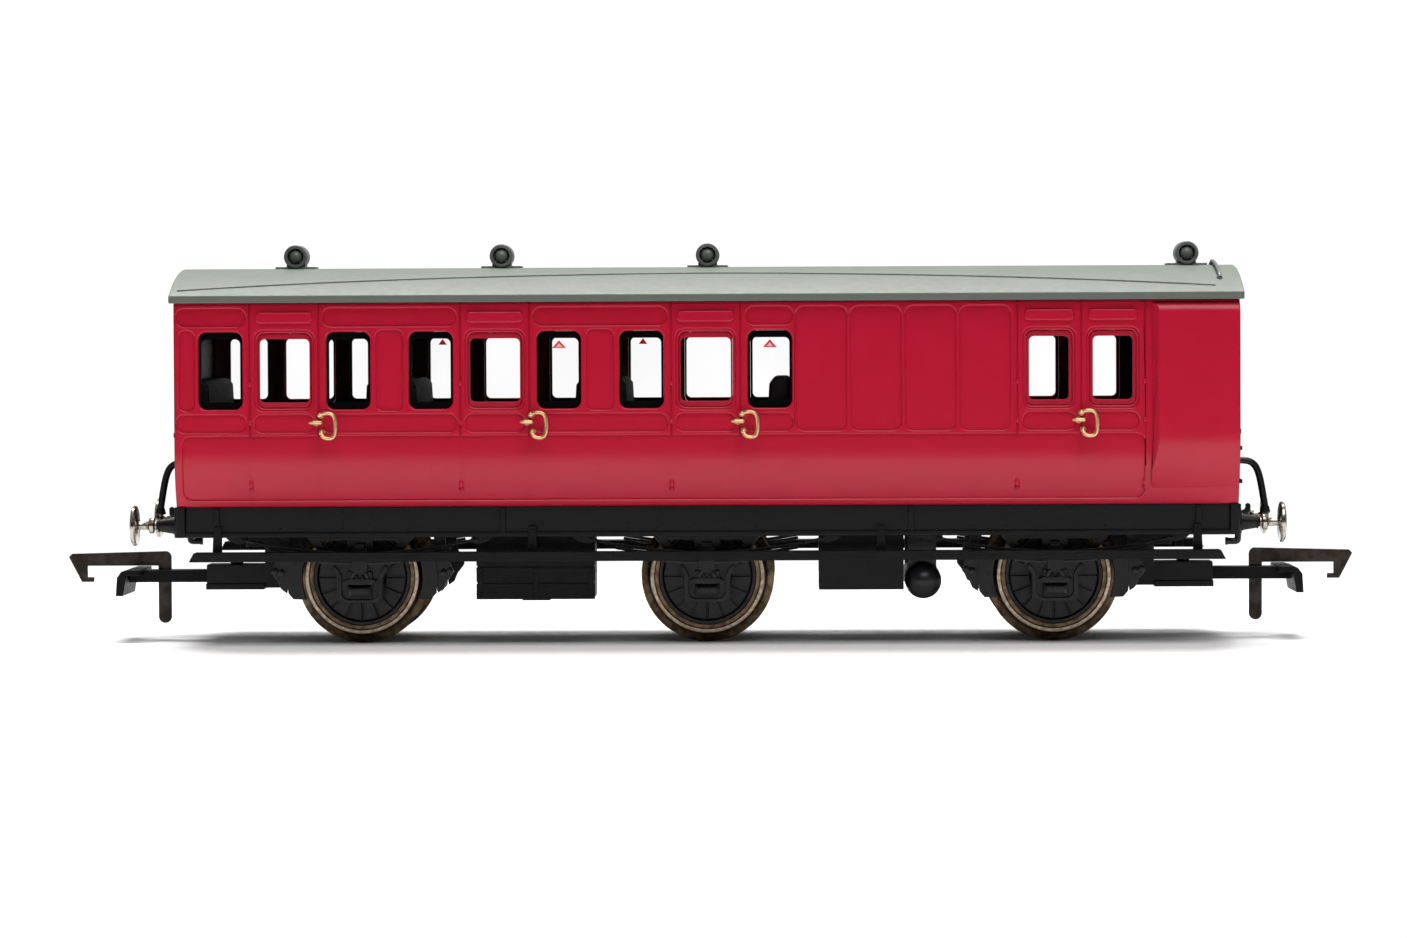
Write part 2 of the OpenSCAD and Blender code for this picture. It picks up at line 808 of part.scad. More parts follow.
// Hook plate with its drop arm, turning on a cross pin inside the shank.
module hook() {
    tip = over_hooks / 2;
    arm_x = [66.5, 68.1];
    shank_z = [9.1, 10.9];
    lip_z = [7.1, 7.7];
    along_y(-hook_t / 2, hook_t / 2) {
        difference() {
            polygon([
                [arm_x[0], shank_z[0]], [arm_x[0], shank_z[1]], [tip - 0.4, shank_z[1] - 0.3],
                [tip, shank_z[1] - 0.7], [77.6, lip_z[0]], [76.1, lip_z[0]], [76.1, lip_z[1]],
                [76.9, lip_z[1]], [76.9, shank_z[0]]]);
            // Round rear corner.
            translate([arm_x[0], shank_z[1] - 0.8]) difference() {
                translate([-0.1, 0]) square([0.9, 0.9]);
                translate([0.8, 0]) circle(0.8);
            }
        }
        translate([arm_x[0], 2.8]) square([arm_x[1] - arm_x[0], shank_z[0] - 2.8 + 0.1]);
        translate([(arm_x[0] + arm_x[1]) / 2, 2.8]) circle((arm_x[1] - arm_x[0]) / 2);
    }
    translate([pivot_x, 0, pivot_z]) bar_y(pivot_r, -1.15, 1.15);
}

module compartment_hook() {
    color(dark_metal) mirror([1, 0, 0]) hook();
}

module guards_hook() {
    color(dark_metal) hook();
}

// Metal tyre with its flange on the inside.
module tyre() {
    r = tread_d / 2;
    f = flange_d / 2;
    rotate([-90, 0, 0]) rotate_extrude($fn = 120) polygon([
        [tyre_in_r, wheel_in], [f - 0.3, wheel_in], [f, wheel_in + 0.25], [f, wheel_in + 0.45],
        [r + 0.25, wheel_in + flange_t], [r + 0.05, wheel_in + flange_t + 0.2],
        [r - 0.05, wheel_out - 0.2], [r - 0.25, wheel_out], [tyre_in_r, wheel_out]]);
}

module wheelset(x) {
    color(metal) translate([x, 0, axle_z]) {
        bar_y(axle_r, -wheel_out, wheel_out);
        for (s = [-1, 1]) mirror([0, s < 0 ? 1 : 0, 0]) {
            tyre();
            bar_y(journal_r, wheel_out, journal_y);
        }
    }
}

// Disc centre with a boss, pressed on the axle inside each tyre.
module wheel_centres(x) {
    color(black_plastic) translate([x, 0, axle_z]) for (s = [-1, 1])
        mirror([0, s < 0 ? 1 : 0, 0]) rotate([-90, 0, 0]) rotate_extrude($fn = 96) polygon([
            [axle_r, wheel_in], [tyre_in_r, wheel_in], [tyre_in_r, wheel_out - 0.3],
            [3.3, wheel_out - 0.7], [2.4, wheel_out - 0.7], [2, wheel_out - 0.1],
            [axle_r, wheel_out - 0.1]]);
}

near_side();
far_side();
compartment_end();
guards_end();
near_ducket();
far_ducket();
roof();
roof_ventilators();
roof_handrail();
window_frames();
droplight_frames();
near_glazing();
far_glazing();
chassis_plate();
end_stretchers();
ballast_weight();
interior_floor();
partitions();
seats();
door_handles();
grab_handles();
near_solebar();
far_solebar();
near_footboard();
far_footboard();
near_axleguards();
far_axleguards();
near_springs();
far_springs();
headstocks();
buffer_housings();
buffers();
draw_hooks();
brake_pipes();
steam_pipes();
battery_box();
equipment_box();
gas_cylinder();
brake_gear();
coupling_pockets();
coupling_bars();
compartment_hook();
guards_hook();
wheelset(-wheelbase);  // compartment_wheelset
wheel_centres(-wheelbase);  // compartment_wheel_centres
wheelset(0);  // middle_wheelset
wheel_centres(0);  // middle_wheel_centres
wheelset(wheelbase);  // guards_wheelset
wheel_centres(wheelbase);  // guards_wheel_centres
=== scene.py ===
"""A six-wheeled railway brake coach, as a small-scale moulded model.

The real model is a set of injection moulded parts: a body in crimson, a roof clipped over it, one glazing
insert a side, and a black chassis that carries the metal buffers, hooks and wheelsets.
"""

import math

import bmesh
import bpy
from mathutils import Matrix, Vector


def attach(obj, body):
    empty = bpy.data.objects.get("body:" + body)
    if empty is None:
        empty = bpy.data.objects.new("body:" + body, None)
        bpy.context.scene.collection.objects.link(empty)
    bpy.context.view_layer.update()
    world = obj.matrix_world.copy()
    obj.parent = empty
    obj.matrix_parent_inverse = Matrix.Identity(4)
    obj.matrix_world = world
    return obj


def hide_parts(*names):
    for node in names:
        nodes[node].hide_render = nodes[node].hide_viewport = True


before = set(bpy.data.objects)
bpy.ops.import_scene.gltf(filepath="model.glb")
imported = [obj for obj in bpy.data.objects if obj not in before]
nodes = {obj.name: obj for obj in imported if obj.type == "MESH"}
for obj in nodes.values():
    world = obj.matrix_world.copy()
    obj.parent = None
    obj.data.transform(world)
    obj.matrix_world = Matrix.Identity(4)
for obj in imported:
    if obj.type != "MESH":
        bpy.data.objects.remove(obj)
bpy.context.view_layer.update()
mm = 0.001


# ---------------------------------------------------------------------------
# The table the model stands on: a sheet of white paper under a soft lamp overhead,
# with a softbox in front and a pale wall behind. The room is lit up to plain white
# where the lens sees it. A long lens stands level with the coach's waist.

table = bmesh.new()
bmesh.ops.create_grid(table, x_segments=2, y_segments=2, size=0.5)
bmesh.ops.scale(table, vec=(0.6, 0.32, 1.0), verts=table.verts)
table_mesh = bpy.data.meshes.new("paper_table")
table.to_mesh(table_mesh)
table.free()
paper = bpy.data.objects.new("paper_table", table_mesh)
bpy.context.scene.collection.objects.link(paper)
white_paper = bpy.data.materials.new("white_paper")
white_paper.use_nodes = True
sheet_shader = white_paper.node_tree.nodes["Principled BSDF"]
sheet_shader.inputs["Base Color"].default_value = (0.95, 0.95, 0.95, 1.0)
sheet_shader.inputs["Roughness"].default_value = 0.9
sheet_shader.inputs["Specular IOR Level"].default_value = 0.1
table_mesh.materials.append(white_paper)

room = bpy.data.worlds.new("dim_room")
room.use_nodes = True
air = room.node_tree
ray = air.nodes.new("ShaderNodeTexCoord")
ray_parts = air.nodes.new("ShaderNodeSeparateXYZ")
seen = air.nodes.new("ShaderNodeLightPath")
both_walls = air.nodes.new("ShaderNodeMath")
lit_walls = air.nodes.new("ShaderNodeMix")
air.links.new(ray.outputs["Generated"], ray_parts.inputs["Vector"])
wall_tones = (("Z", 0.0, 0.9, 0.03, 0.3), ("Y", 0.4, 0.95, 0.0, 0.4))
for number, (axis, start, end, dark, light) in enumerate(wall_tones):
    wall = air.nodes.new("ShaderNodeMapRange")
    wall.interpolation_type = "SMOOTHSTEP"
    for socket, value in (("From Min", start), ("From Max", end), ("To Min", dark), ("To Max", light)):
        wall.inputs[socket].default_value = value
    air.links.new(ray_parts.outputs[axis], wall.inputs["Value"])
    air.links.new(wall.outputs["Result"], both_walls.inputs[number])
lit_walls.inputs["B"].default_value = 1.05
air.links.new(both_walls.outputs["Value"], lit_walls.inputs["A"])
air.links.new(seen.outputs["Is Camera Ray"], lit_walls.inputs["Factor"])
air.links.new(lit_walls.outputs["Result"], air.nodes["Background"].inputs["Strength"])
air.nodes["Background"].inputs["Color"].default_value = (1.0, 1.0, 1.0, 1.0)
bpy.context.scene.world = room
bpy.context.scene.view_settings.view_transform = "Standard"

overhead = bpy.data.lights.new("overhead_lamp", "SUN")
overhead.energy, overhead.angle = 3.6, math.radians(30)
hung = bpy.data.objects.new("overhead_lamp", overhead)
hung.rotation_euler = Vector((0.05, -0.4, -1.0)).to_track_quat("-Z", "Y").to_euler()
bpy.context.scene.collection.objects.link(hung)
softbox = bpy.data.lights.new("front_softbox", "AREA")
softbox.shape, softbox.size, softbox.size_y, softbox.energy = "RECTANGLE", 0.45, 0.36, 1.9
stood = bpy.data.objects.new("front_softbox", softbox)
stood.location = (0.08, -0.30, 0.50)
stood.rotation_euler = (Vector((0.02, 0.0, 0.03)) - stood.location).to_track_quat("-Z", "Y").to_euler()
bpy.context.scene.collection.objects.link(stood)

lens = bpy.data.cameras.new("long_lens")
lens.sensor_width = 36.0
lens.lens = 124.5
lens.clip_start, lens.clip_end = 0.01, 20.0
camera = bpy.data.objects.new("long_lens", lens)
turned_left, tipped_down, rolled = math.radians(1.136), math.radians(1.671), math.radians(-0.25)
camera.matrix_world = (
    Matrix.Translation((11.27 * mm, -600.0 * mm, 38.3 * mm))
    @ Matrix.Rotation(turned_left, 4, "Z")
    @ Matrix.Rotation(math.radians(90) - tipped_down, 4, "X")
    @ Matrix.Rotation(rolled, 4, "Z")
)
bpy.context.scene.collection.objects.link(camera)
bpy.context.scene.camera = camera


# ---------------------------------------------------------------------------
# The chassis plate is the black moulding everything hangs from, with a window
# over each wheel. A steel bar lies on it for weight, and the saloon floor
# covers the bar.

class Value:
    """A socket in a material that takes part in sums; each operator adds its Math node."""

    def __init__(self, finish, socket):
        self.finish, self.socket = finish, socket

    def sum(self, operation, other, turned=False):
        pair = (other, self) if turned else (self, other)
        return self.finish.node("ShaderNodeMath", {"operation": operation}, {0: pair[0], 1: pair[1]})

    def __add__(self, other):
        return self.sum("ADD", other)

    def __radd__(self, other):
        return self.sum("ADD", other, turned=True)

    def __sub__(self, other):
        return self.sum("SUBTRACT", other)

    def __rsub__(self, other):
        return self.sum("SUBTRACT", other, turned=True)

    def __mul__(self, other):
        return self.sum("MULTIPLY", other)

    def __rmul__(self, other):
        return self.sum("MULTIPLY", other, turned=True)

    def __pow__(self, other):
        return self.sum("POWER", other)

    def __rpow__(self, other):
        return self.sum("POWER", other, turned=True)

    def __gt__(self, other):
        return self.sum("GREATER_THAN", other)

    def __lt__(self, other):
        return self.sum("LESS_THAN", other)


class Finish:
    """One finish of the model: a material whose nodes all come from node()."""

    def __init__(self, name, **constants):
        self.material = bpy.data.materials.new(name)
        self.material.use_nodes = True
        self.tree = self.material.node_tree
        self.shader = self.tree.nodes["Principled BSDF"]
        self.place = self.node("ShaderNodeTexCoord", out="Object")
        for socket, value in constants.items():
            self.shader.inputs[socket.replace("_", " ")].default_value = value

    def node(self, kind, settings=(), sockets=(), out=0):
        """Adds a node: its settings first, then the values or links of its sockets."""
        made = self.tree.nodes.new(kind)
        for key, value in dict(settings).items():
            setattr(made, key, value)
        for key, value in dict(sockets).items():
            if isinstance(value, Value):
                self.tree.links.new(value.socket, made.inputs[key])
            else:
                made.inputs[key].default_value = value
        return Value(self, made.outputs[out])

    def noise(self, size, detail=2.0):
        """Blotches about `size` mm across, from 0 to 1."""
        sockets = {"Vector": self.place, "Scale": 1 / (size * mm), "Detail": detail}
        return self.node("ShaderNodeTexNoise", {}, sockets)

    def ranged(self, value, start, end, low, high):
        """A number that runs smoothly from low to high as the value goes from start to end."""
        spread = {"Value": value, "From Min": start, "From Max": end, "To Min": low, "To Max": high}
        return self.node("ShaderNodeMapRange", {"interpolation_type": "SMOOTHSTEP"}, spread)

    def blend(self, factor, first, second):
        """One colour giving way to another."""
        return self.node("ShaderNodeMix", {"data_type": "RGBA"}, {0: factor, 6: first, 7: second}, 2)

    def set(self, **links):
        for socket, value in links.items():
            self.tree.links.new(value.socket, self.shader.inputs[socket.replace("_", " ")])

    def shade(self, low, high, blotch):
        """Colours the finish in two close shades, in soft blotches."""
        self.colour = self.blend(self.ranged(self.noise(blotch, 4.0), 0.35, 0.65, 0.0, 1.0), low, high)
        self.set(Base_Color=self.colour)

    def overlay(self, mask, colour):
        """Lays another colour over the finish where the mask is 1."""
        self.colour = self.blend(mask, self.colour, colour)
        self.set(Base_Color=self.colour)

    def relief(self, height, depth):
        """Bump `depth` mm deep."""
        self.set(Normal=self.node("ShaderNodeBump", {}, {"Height": height, "Distance": depth * mm}))

    def axes(self):
        parts = self.node("ShaderNodeSeparateXYZ", {}, {"Vector": self.place})
        sockets = parts.socket.node.outputs
        return [Value(self, sockets[i]) for i in range(3)]


def paint(red, green, blue):
    """A colour as it is read off a chart, made linear."""
    return (*[c / 3294.6 if c <= 10 else ((c / 255 + 0.055) / 1.055) ** 2.4 for c in (red, green, blue)], 1.0)


def moulded(name, low, high, roughness, grain=0.003, size=0.15, uneven=0.05, blotch=4.0, **constants):
    """Moulded plastic: two close shades in soft blotches, and the tool's fine grain."""
    made = Finish(name, **constants)
    made.shade(low, high, blotch)
    made.set(Roughness=made.ranged(made.noise(1.2, 3.0), 0.3, 0.7, roughness - uneven, roughness + uneven))
    made.relief(made.noise(size, 3.0), grain)
    return made


def plated(name, low, high, roughness, blotch=0.8, grain=0.002):
    """Plated or blackened metal: blotches of tone and a faint grain."""
    made = Finish(name, Metallic=1.0)
    made.shade(low, high, blotch)
    made.set(Roughness=made.ranged(made.noise(0.3, 3.0), 0.3, 0.7, roughness - 0.05, roughness + 0.06))
    made.relief(made.noise(0.08, 3.0), grain)
    return made


def shown(name, shape, body, finish, stands_for, whole=False, smooth=35.0):
    """Puts a finished shape, drawn in millimetres, on show: in place, on its body, in its finish."""
    if not whole:
        bmesh.ops.recalc_face_normals(shape, faces=shape.faces)
    bmesh.ops.scale(shape, vec=(mm, mm, mm), verts=shape.verts)
    mesh = bpy.data.meshes.new(name)
    shape.to_mesh(mesh)
    shape.free()
    mesh.materials.append(finish.material)
    mesh.polygons.foreach_set("use_smooth", [True] * len(mesh.polygons))
    mesh.set_sharp_from_angle(angle=math.radians(smooth))
    piece = bpy.data.objects.new(name, mesh)
    bpy.context.scene.collection.objects.link(piece)
    even = piece.modifiers.new("even_normals", "WEIGHTED_NORMAL")
    even.keep_sharp = True
    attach(piece, body)
    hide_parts(*stands_for)


def merged(node):
    """A copy of a solid, in millimetres, with its loose triangles joined up and its flat faces made whole."""
    shape = bmesh.new()
    shape.from_mesh(nodes[node].data)
    bmesh.ops.scale(shape, vec=(1 / mm, 1 / mm, 1 / mm), verts=shape.verts)
    bmesh.ops.remove_doubles(shape, verts=shape.verts, dist=0.0005)
    bmesh.ops.dissolve_limit(shape, angle_limit=math.radians(0.5), verts=shape.verts, edges=shape.edges)
    return shape


def sharp_edges(shape):
    return [e for e in shape.edges if len(e.link_faces) == 2 and e.calc_face_angle() > math.radians(40)]


def eased(shape, radius, segments=2, edges=None):
    """Rounds the given edges, or every sharp one, as a mould tool leaves them."""
    bmesh.ops.bevel(
        shape, geom=edges or sharp_edges(shape), offset=radius, offset_type="OFFSET", segments=segments,
        profile=0.5, affect="EDGES", material=-1, clamp_overlap=False,
    )
    return shape


def show_solid(name, node, radius, finish, body="coach", segments=2, smooth=35.0):
    """Shows a solid just as it is, with its sharp edges rounded."""
    shape = eased(merged(node), radius, segments)
    shown(name, shape, body, finish, [node], whole=True, smooth=smooth)


satin_black = moulded("satin_black", paint(8, 8, 9), paint(12, 12, 14), 0.4, Specular_IOR_Level=0.25)
bare_steel = plated("bare_steel", paint(120, 118, 114), paint(150, 148, 142), 0.4, blotch=2.5)
inside_black = moulded("inside_black", paint(5, 5, 6), paint(8, 8, 9), 0.5, Specular_IOR_Level=0.15)

show_solid("chassis_deck", "chassis_plate", 0.1, satin_black)
show_solid("frame_stretchers", "end_stretchers", 0.12, satin_black)
show_solid("ballast_bar", "ballast_weight", 0.15, bare_steel)
show_solid("saloon_floor", "interior_floor", 0.1, inside_black)


# ---------------------------------------------------------------------------
# Solebars and headstocks make the frame's rim. Each solebar is a channel with
# a rolled bottom flange, upright stiffeners and rows of bolt heads; it is one
# moulding with the chassis on the real model.

sole_end, sole_y, sole_foot, sole_head = 63.0, -13.8, 13.1, 16.8
axle_xs = (-42.0, 0.0, 42.0)
stiffener_xs = (-59.2, -24.6, 24.6, 59.2)


def block(shape, x, y, z):
    """A box between pairs of limits."""
    made = bmesh.ops.create_cube(shape, size=1.0)["verts"]
    bmesh.ops.scale(shape, vec=(x[1] - x[0], y[1] - y[0], z[1] - z[0]), verts=made)
    bmesh.ops.translate(shape, vec=((x[0] + x[1]) / 2, (y[0] + y[1]) / 2, (z[0] + z[1]) / 2), verts=made)
    return made


def ball(shape, centre, radius, squash=(1, 1, 1), detail=12):
    made = bmesh.ops.create_uvsphere(shape, u_segments=2 * detail, v_segments=detail, radius=radius)["verts"]
    bmesh.ops.scale(shape, vec=squash, verts=made)
    bmesh.ops.translate(shape, vec=centre, verts=made)
    return made


def bolt(shape, x, y, z, radius=0.17, stands=0.12):
    """A domed bolt head on an upright face."""
    ball(shape, (x, y, z), radius, squash=(1, stands / radius, 1), detail=4)


def solebar():
    shape = bmesh.new()
    block(shape, (-sole_end, sole_end), (sole_y, -13.0), (sole_foot, sole_head))
    block(shape, (-sole_end, sole_end), (-14.4, sole_y + 0.1), (sole_foot, sole_foot + 0.55))
    for x in stiffener_xs:
        block(shape, (x - 0.32, x + 0.32), (-14.15, sole_y + 0.1), (sole_foot + 0.4, sole_head - 0.15))
    eased(shape, 0.1)
    for x in stiffener_xs:
        for z in (14.3, 15.3, 16.2):
            bolt(shape, x, -14.15, z, 0.13, 0.08)
    for axle in axle_xs:
        for dx in (2.0, 6.0, 9.6):
            for x in (axle - dx, axle + dx):
                bolt(shape, x, sole_y, 14.15)
                if dx < 9:
                    bolt(shape, x, sole_y, 16.1)
    return shape


def show_both_sides(name, make, finish, node):
    """Shows a black fitting on the near side, and the same turned over on the far side."""
    for side in ("near", "far"):
        shape = make()
        if side == "far":
            bmesh.ops.scale(shape, vec=(1, -1, 1), verts=shape.verts)
        shown(f"{side}_{name}", shape, "coach", finish, [f"{side}_{node}"])


show_both_sides("solebar_channel", solebar, satin_black, "solebar")


# ---------------------------------------------------------------------------
# Headstocks close the frame at both ends: a plain beam with rounded corners,
# bolt heads and a square pad behind each buffer, moulded with the chassis.

def other_side(shape, axis="Y"):
    """Adds the same again across the middle of the coach."""
    flip = {"X": (-1, 1, 1), "Y": (1, -1, 1)}[axis]
    copy = bmesh.ops.duplicate(shape, geom=shape.verts[:] + shape.edges[:] + shape.faces[:])["geom"]
    bmesh.ops.scale(shape, vec=flip, verts=[v for v in copy if isinstance(v, bmesh.types.BMVert)])
    bmesh.ops.reverse_faces(shape, faces=[f for f in copy if isinstance(f, bmesh.types.BMFace)])
    return shape


beam_face, buffer_y, buffer_z = 64.3, 11.3, 14.5
beams = bmesh.new()
block(beams, (sole_end, beam_face), (-14.4, 14.4), (sole_foot, sole_head))
front_edges = [e for e in beams.edges if min(v.co.x for v in e.verts) > beam_face - 0.1]
corners = [e for e in front_edges if abs(e.verts[0].co.y - e.verts[1].co.y) < 0.01]
bmesh.ops.bevel(beams, geom=corners, offset=0.35, segments=2, profile=0.5, affect="EDGES", material=-1)
eased(beams, 0.1)
for y in (-13.2, 13.2, -9.0, 9.0, -3.4, 3.4):
    for z in (13.8, 16.1):
        ball(beams, (beam_face, y, z), 0.17, squash=(0.6, 1, 1), detail=4)
for y in (-buffer_y, buffer_y):
    block(beams, (beam_face - 0.1, beam_face + 0.2), (y - 1.35, y + 1.35), (13.2, 15.8))
shown("end_beams", other_side(beams, "X"), "coach", satin_black, ["headstocks"])


# ---------------------------------------------------------------------------
# Running boards: a plank along each side with cut corners, hung from the
# solebar on cranked flat straps. The plank's face has its wood grain moulded in.

strap_xs = (-59.05, -21.0, 21.0, 59.05)
board_black = moulded("grained_black", paint(7, 7, 7), paint(13, 12, 12), 0.45, Specular_IOR_Level=0.2)
along, across, up = board_black.axes()
streaks = board_black.node("ShaderNodeCombineXYZ", {}, {0: along * 0.12, 1: across, 2: up})
grain_scale = 4500.0
grain = board_black.node("ShaderNodeTexNoise", {}, {"Vector": streaks, "Scale": grain_scale, "Detail": 3.0})
board_black.relief(grain, 0.03)


def plate(shape, outline, y):
    """A flat plate cut to an x-z outline, between two depths."""
    face = shape.faces.new([shape.verts.new((px, y[0], pz)) for px, pz in outline])
    grown = bmesh.ops.extrude_face_region(shape, geom=[face])["geom"]
    moved = [v for v in grown if isinstance(v, bmesh.types.BMVert)]
    bmesh.ops.translate(shape, vec=(0, y[1] - y[0], 0), verts=moved)
    return list(face.verts) + moved if face.is_valid else moved


def running_board():
    shape = bmesh.new()
    end, slope = 62.2, 0.6
    low, high = 10.3, 11.4
    plate(shape, [(-end, low), (end, low), (end - slope, high), (slope - end, high)], (-17.5, -14.7))
    for x in strap_xs:
        strap = [(x - 0.62, 10.35), (x + 0.62, 10.35), (x + 0.45, 14.4), (x - 0.45, 14.4)]
        plate(shape, strap, (-14.75, -14.4))
        block(shape, (x - 0.5, x + 0.5), (-14.42, -13.8), (10.4, 13.1))
    eased(shape, 0.07)
    for x in strap_xs:
        bolt(shape, x, -14.75, 13.9, 0.2, 0.15)
        bolt(shape, x, -14.75, 12.1, 0.2, 0.15)
    return shape


show_both_sides("running_board", running_board, board_black, "footboard")


# ---------------------------------------------------------------------------
# Axleguards: a pierced plate either side of each axle with a raised keep round
# the axlebox, and the axlebox itself with its bevelled cover and the hood over
# the oil filler. The axle's pin runs in the back of it.

gear_black = moulded(
    "gear_black", paint(12, 12, 14), paint(21, 21, 24), 0.32, size=0.1, Specular_IOR_Level=0.35,
)


def peg(shape, base, tip, radius, end=None, sides=20):
    """A round peg from base to tip, tapered if it has an end radius."""
    base, tip = Vector(base), Vector(tip)
    made = bmesh.ops.create_cone(
        shape, cap_ends=True, segments=sides, radius1=radius, radius2=radius if end is None else end,
        depth=(tip - base).length,
    )["verts"]
    turn = (tip - base).to_track_quat("Z", "Y").to_matrix()
    bmesh.ops.rotate(shape, verts=made, cent=(0, 0, 0), matrix=turn)
    bmesh.ops.translate(shape, verts=made, vec=(base + tip) / 2)
    return made


def both_halves(outline, x):
    """A whole x-z outline, from the half of it to the right of an upright line."""
    return [(x + px, pz) for px, pz in outline] + [(x - px, pz) for px, pz in reversed(outline)]


def axleguard(shape, x):
    """A guard pierced either side of the axlebox: a foot, a stem and two wings, with a raised keep."""
    foot = [(2.45, 5.1), (2.8, 5.5), (2.8, 8.2), (3.4, 9.3), (3.0, 10.0)]
    plate(shape, both_halves(foot, x), (-12.6, -11.7))
    block(shape, (x - 1.6, x + 1.6), (-12.57, -11.73), (9.8, 12.8))
    wing = [(4.8, 12.6), (2.85, 9.8), (3.3, 9.15), (6.6, 13.2), (6.6, 15.8)]
    plate(shape, both_halves(wing, x), (-12.58, -11.72))
    keep = [
        (1.4, 5.5), (1.9, 5.7), (2.2, 6.1), (2.2, 8.3), (2.6, 9.1), (3.1, 9.6),
        (3.4, 9.3), (2.95, 8.7), (2.7, 8.1), (2.7, 6.0), (2.3, 5.35), (1.6, 5.1),
    ]
    plate(shape, both_halves(keep, x), (-13.2, -12.5))


def axlebox(shape, x):
    block(shape, (x - 1.5, x + 1.5), (-13.2, -12.4), (5.65, 8.9))
    cover = block(shape, (x - 1.45, x + 1.45), (-13.7, -13.1), (5.75, 7.3))
    front = [f for f in shape.faces if all(v in cover for v in f.verts) and f.calc_center_median().y < -13.65]
    bmesh.ops.bevel(
        shape, geom=list(front[0].edges), offset=0.42, segments=1, profile=0.5, affect="EDGES", material=-1,
    )
    wings = [(-2.05, 7.75), (-1.3, 7.35), (1.3, 7.35), (2.05, 7.75), (1.3, 8.1), (-1.3, 8.1)]
    plate(shape, [(x + px, pz) for px, pz in wings], (-13.7, -12.5))
    hood = [
        (-1.15, 8.0), (-1.0, 8.75), (-0.5, 9.2), (0.5, 9.2), (1.0, 8.75), (1.15, 8.0),
        (0.75, 8.0), (0.65, 8.6), (0.3, 8.85), (-0.3, 8.85), (-0.65, 8.6), (-0.75, 8.0),
    ]
    plate(shape, [(x + px, pz) for px, pz in hood], (-13.6, -12.5))
    for dx in (-0.35, 0.35):
        peg(shape, (x + dx, -13.45, 7.9), (x + dx, -13.45, 8.5), 0.17, sides=10)


def axleguards():
    shape = bmesh.new()
    for x in axle_xs:
        axleguard(shape, x)
        axlebox(shape, x)
    eased(shape, 0.06)
    for x in axle_xs:
        for side in (-1, 1):
            bolt(shape, x + side * 3.0, -12.6, 9.85, 0.22, 0.2)
            bolt(shape, x + side * 5.4, -12.6, 13.2, 0.22, 0.2)
    return shape


show_both_sides("axleboxes", axleguards, gear_black, "axleguards")


# ---------------------------------------------------------------------------
# Leaf springs: four bowed leaves in a buckle on each axlebox, hung at their
# ends from scroll irons under the solebar.

spring_half, spring_low, spring_rise, leaf_t = 13.9, 11.3, 1.6, 0.4
spring_r = (spring_half**2 + spring_rise**2) / (2 * spring_rise)


def leaf(shape, axle, number):
    """One leaf, bowed about a centre high above it."""
    half = spring_half - 3.0 * number
    sweep = 2 * math.asin(half / spring_r)
    centre = Vector((axle, 0, spring_low + spring_r))
    top = spring_low - number * leaf_t
    corner = [(-13.6, top), (-12.75, top), (-12.75, top - leaf_t + 0.05), (-13.6, top - leaf_t + 0.05)]
    end = shape.faces.new([shape.verts.new((axle, y, z)) for y, z in corner])
    back = Matrix.Rotation(sweep / 2, 3, "Y")
    bmesh.ops.rotate(shape, verts=end.verts, cent=centre, matrix=back)
    bmesh.ops.spin(shape, geom=[end], cent=centre, axis=(0, 1, 0), angle=-sweep, steps=20)


def springs():
    shape = bmesh.new()
    for x in axle_xs:
        for number in range(4):
            leaf(shape, x, number)
        block(shape, (x - 0.95, x + 0.95), (-13.7, -12.7), (8.95, 11.75))
        block(shape, (x - 0.6, x + 0.6), (-13.75, -12.7), (11.6, 12.3))
        for side in (-1, 1):
            end = x + side * spring_half
            peg(shape, (end, -13.75, 12.75), (end, -12.6, 12.75), 0.42, sides=16)
            block(shape, (end - 0.3, end + 0.3), (-13.65, -12.75), (12.75, 13.1))
            iron = [(0.3, 13.1), (2.3, 13.1), (1.7, 12.55), (0.6, 12.25), (0.0, 12.3)]
            plate(shape, [(end + side * px, pz) for px, pz in iron], (-13.4, -12.9))
            bolt(shape, end, -13.75, 12.75, 0.18, 0.12)
    return eased(shape, 0.04)


show_both_sides("leaf_springs", springs, gear_black, "springs")


# ---------------------------------------------------------------------------
# Boxes and cylinder under the frame: the battery box with its planked front,
# a plain equipment box, and the gas cylinder lying across with domed ends.

battery = bmesh.new()
block(battery, (-27.9, -13.7), (-11.2, -3.0), (5.5, 13.0))
for low, high in ((5.4, 7.3), (7.5, 9.3), (9.5, 13.0)):
    block(battery, (-28.0, -13.6), (-11.4, -10.9), (low, high))
for x in (-27.5, -20.8, -14.1):
    block(battery, (x - 0.3, x + 0.3), (-11.5, -11.2), (5.6, 9.2))
for x in (-26.2, -15.4):
    block(battery, (x - 0.5, x + 0.5), (-11.0, -9.5), (13.0, 15.8))
block(battery, (-22.5, -19.1), (-10.2, -5.0), (5.2, 5.5))
eased(battery, 0.07)
for x in (-27.5, -20.8, -14.1):
    for z in (6.2, 8.5):
        bolt(battery, x, -11.5, z, 0.13, 0.1)
shown("planked_battery_box", battery, "coach", board_black, ["battery_box"])

equipment = bmesh.new()
block(equipment, (13.5, 23.8), (-10.6, -2.0), (6.4, 13.0))
for x in (14.6, 22.6):
    block(equipment, (x - 0.5, x + 0.5), (-10.0, -8.5), (13.0, 15.8))
eased(equipment, 0.12)
shown("plain_equipment_box", equipment, "coach", satin_black, ["equipment_box"])


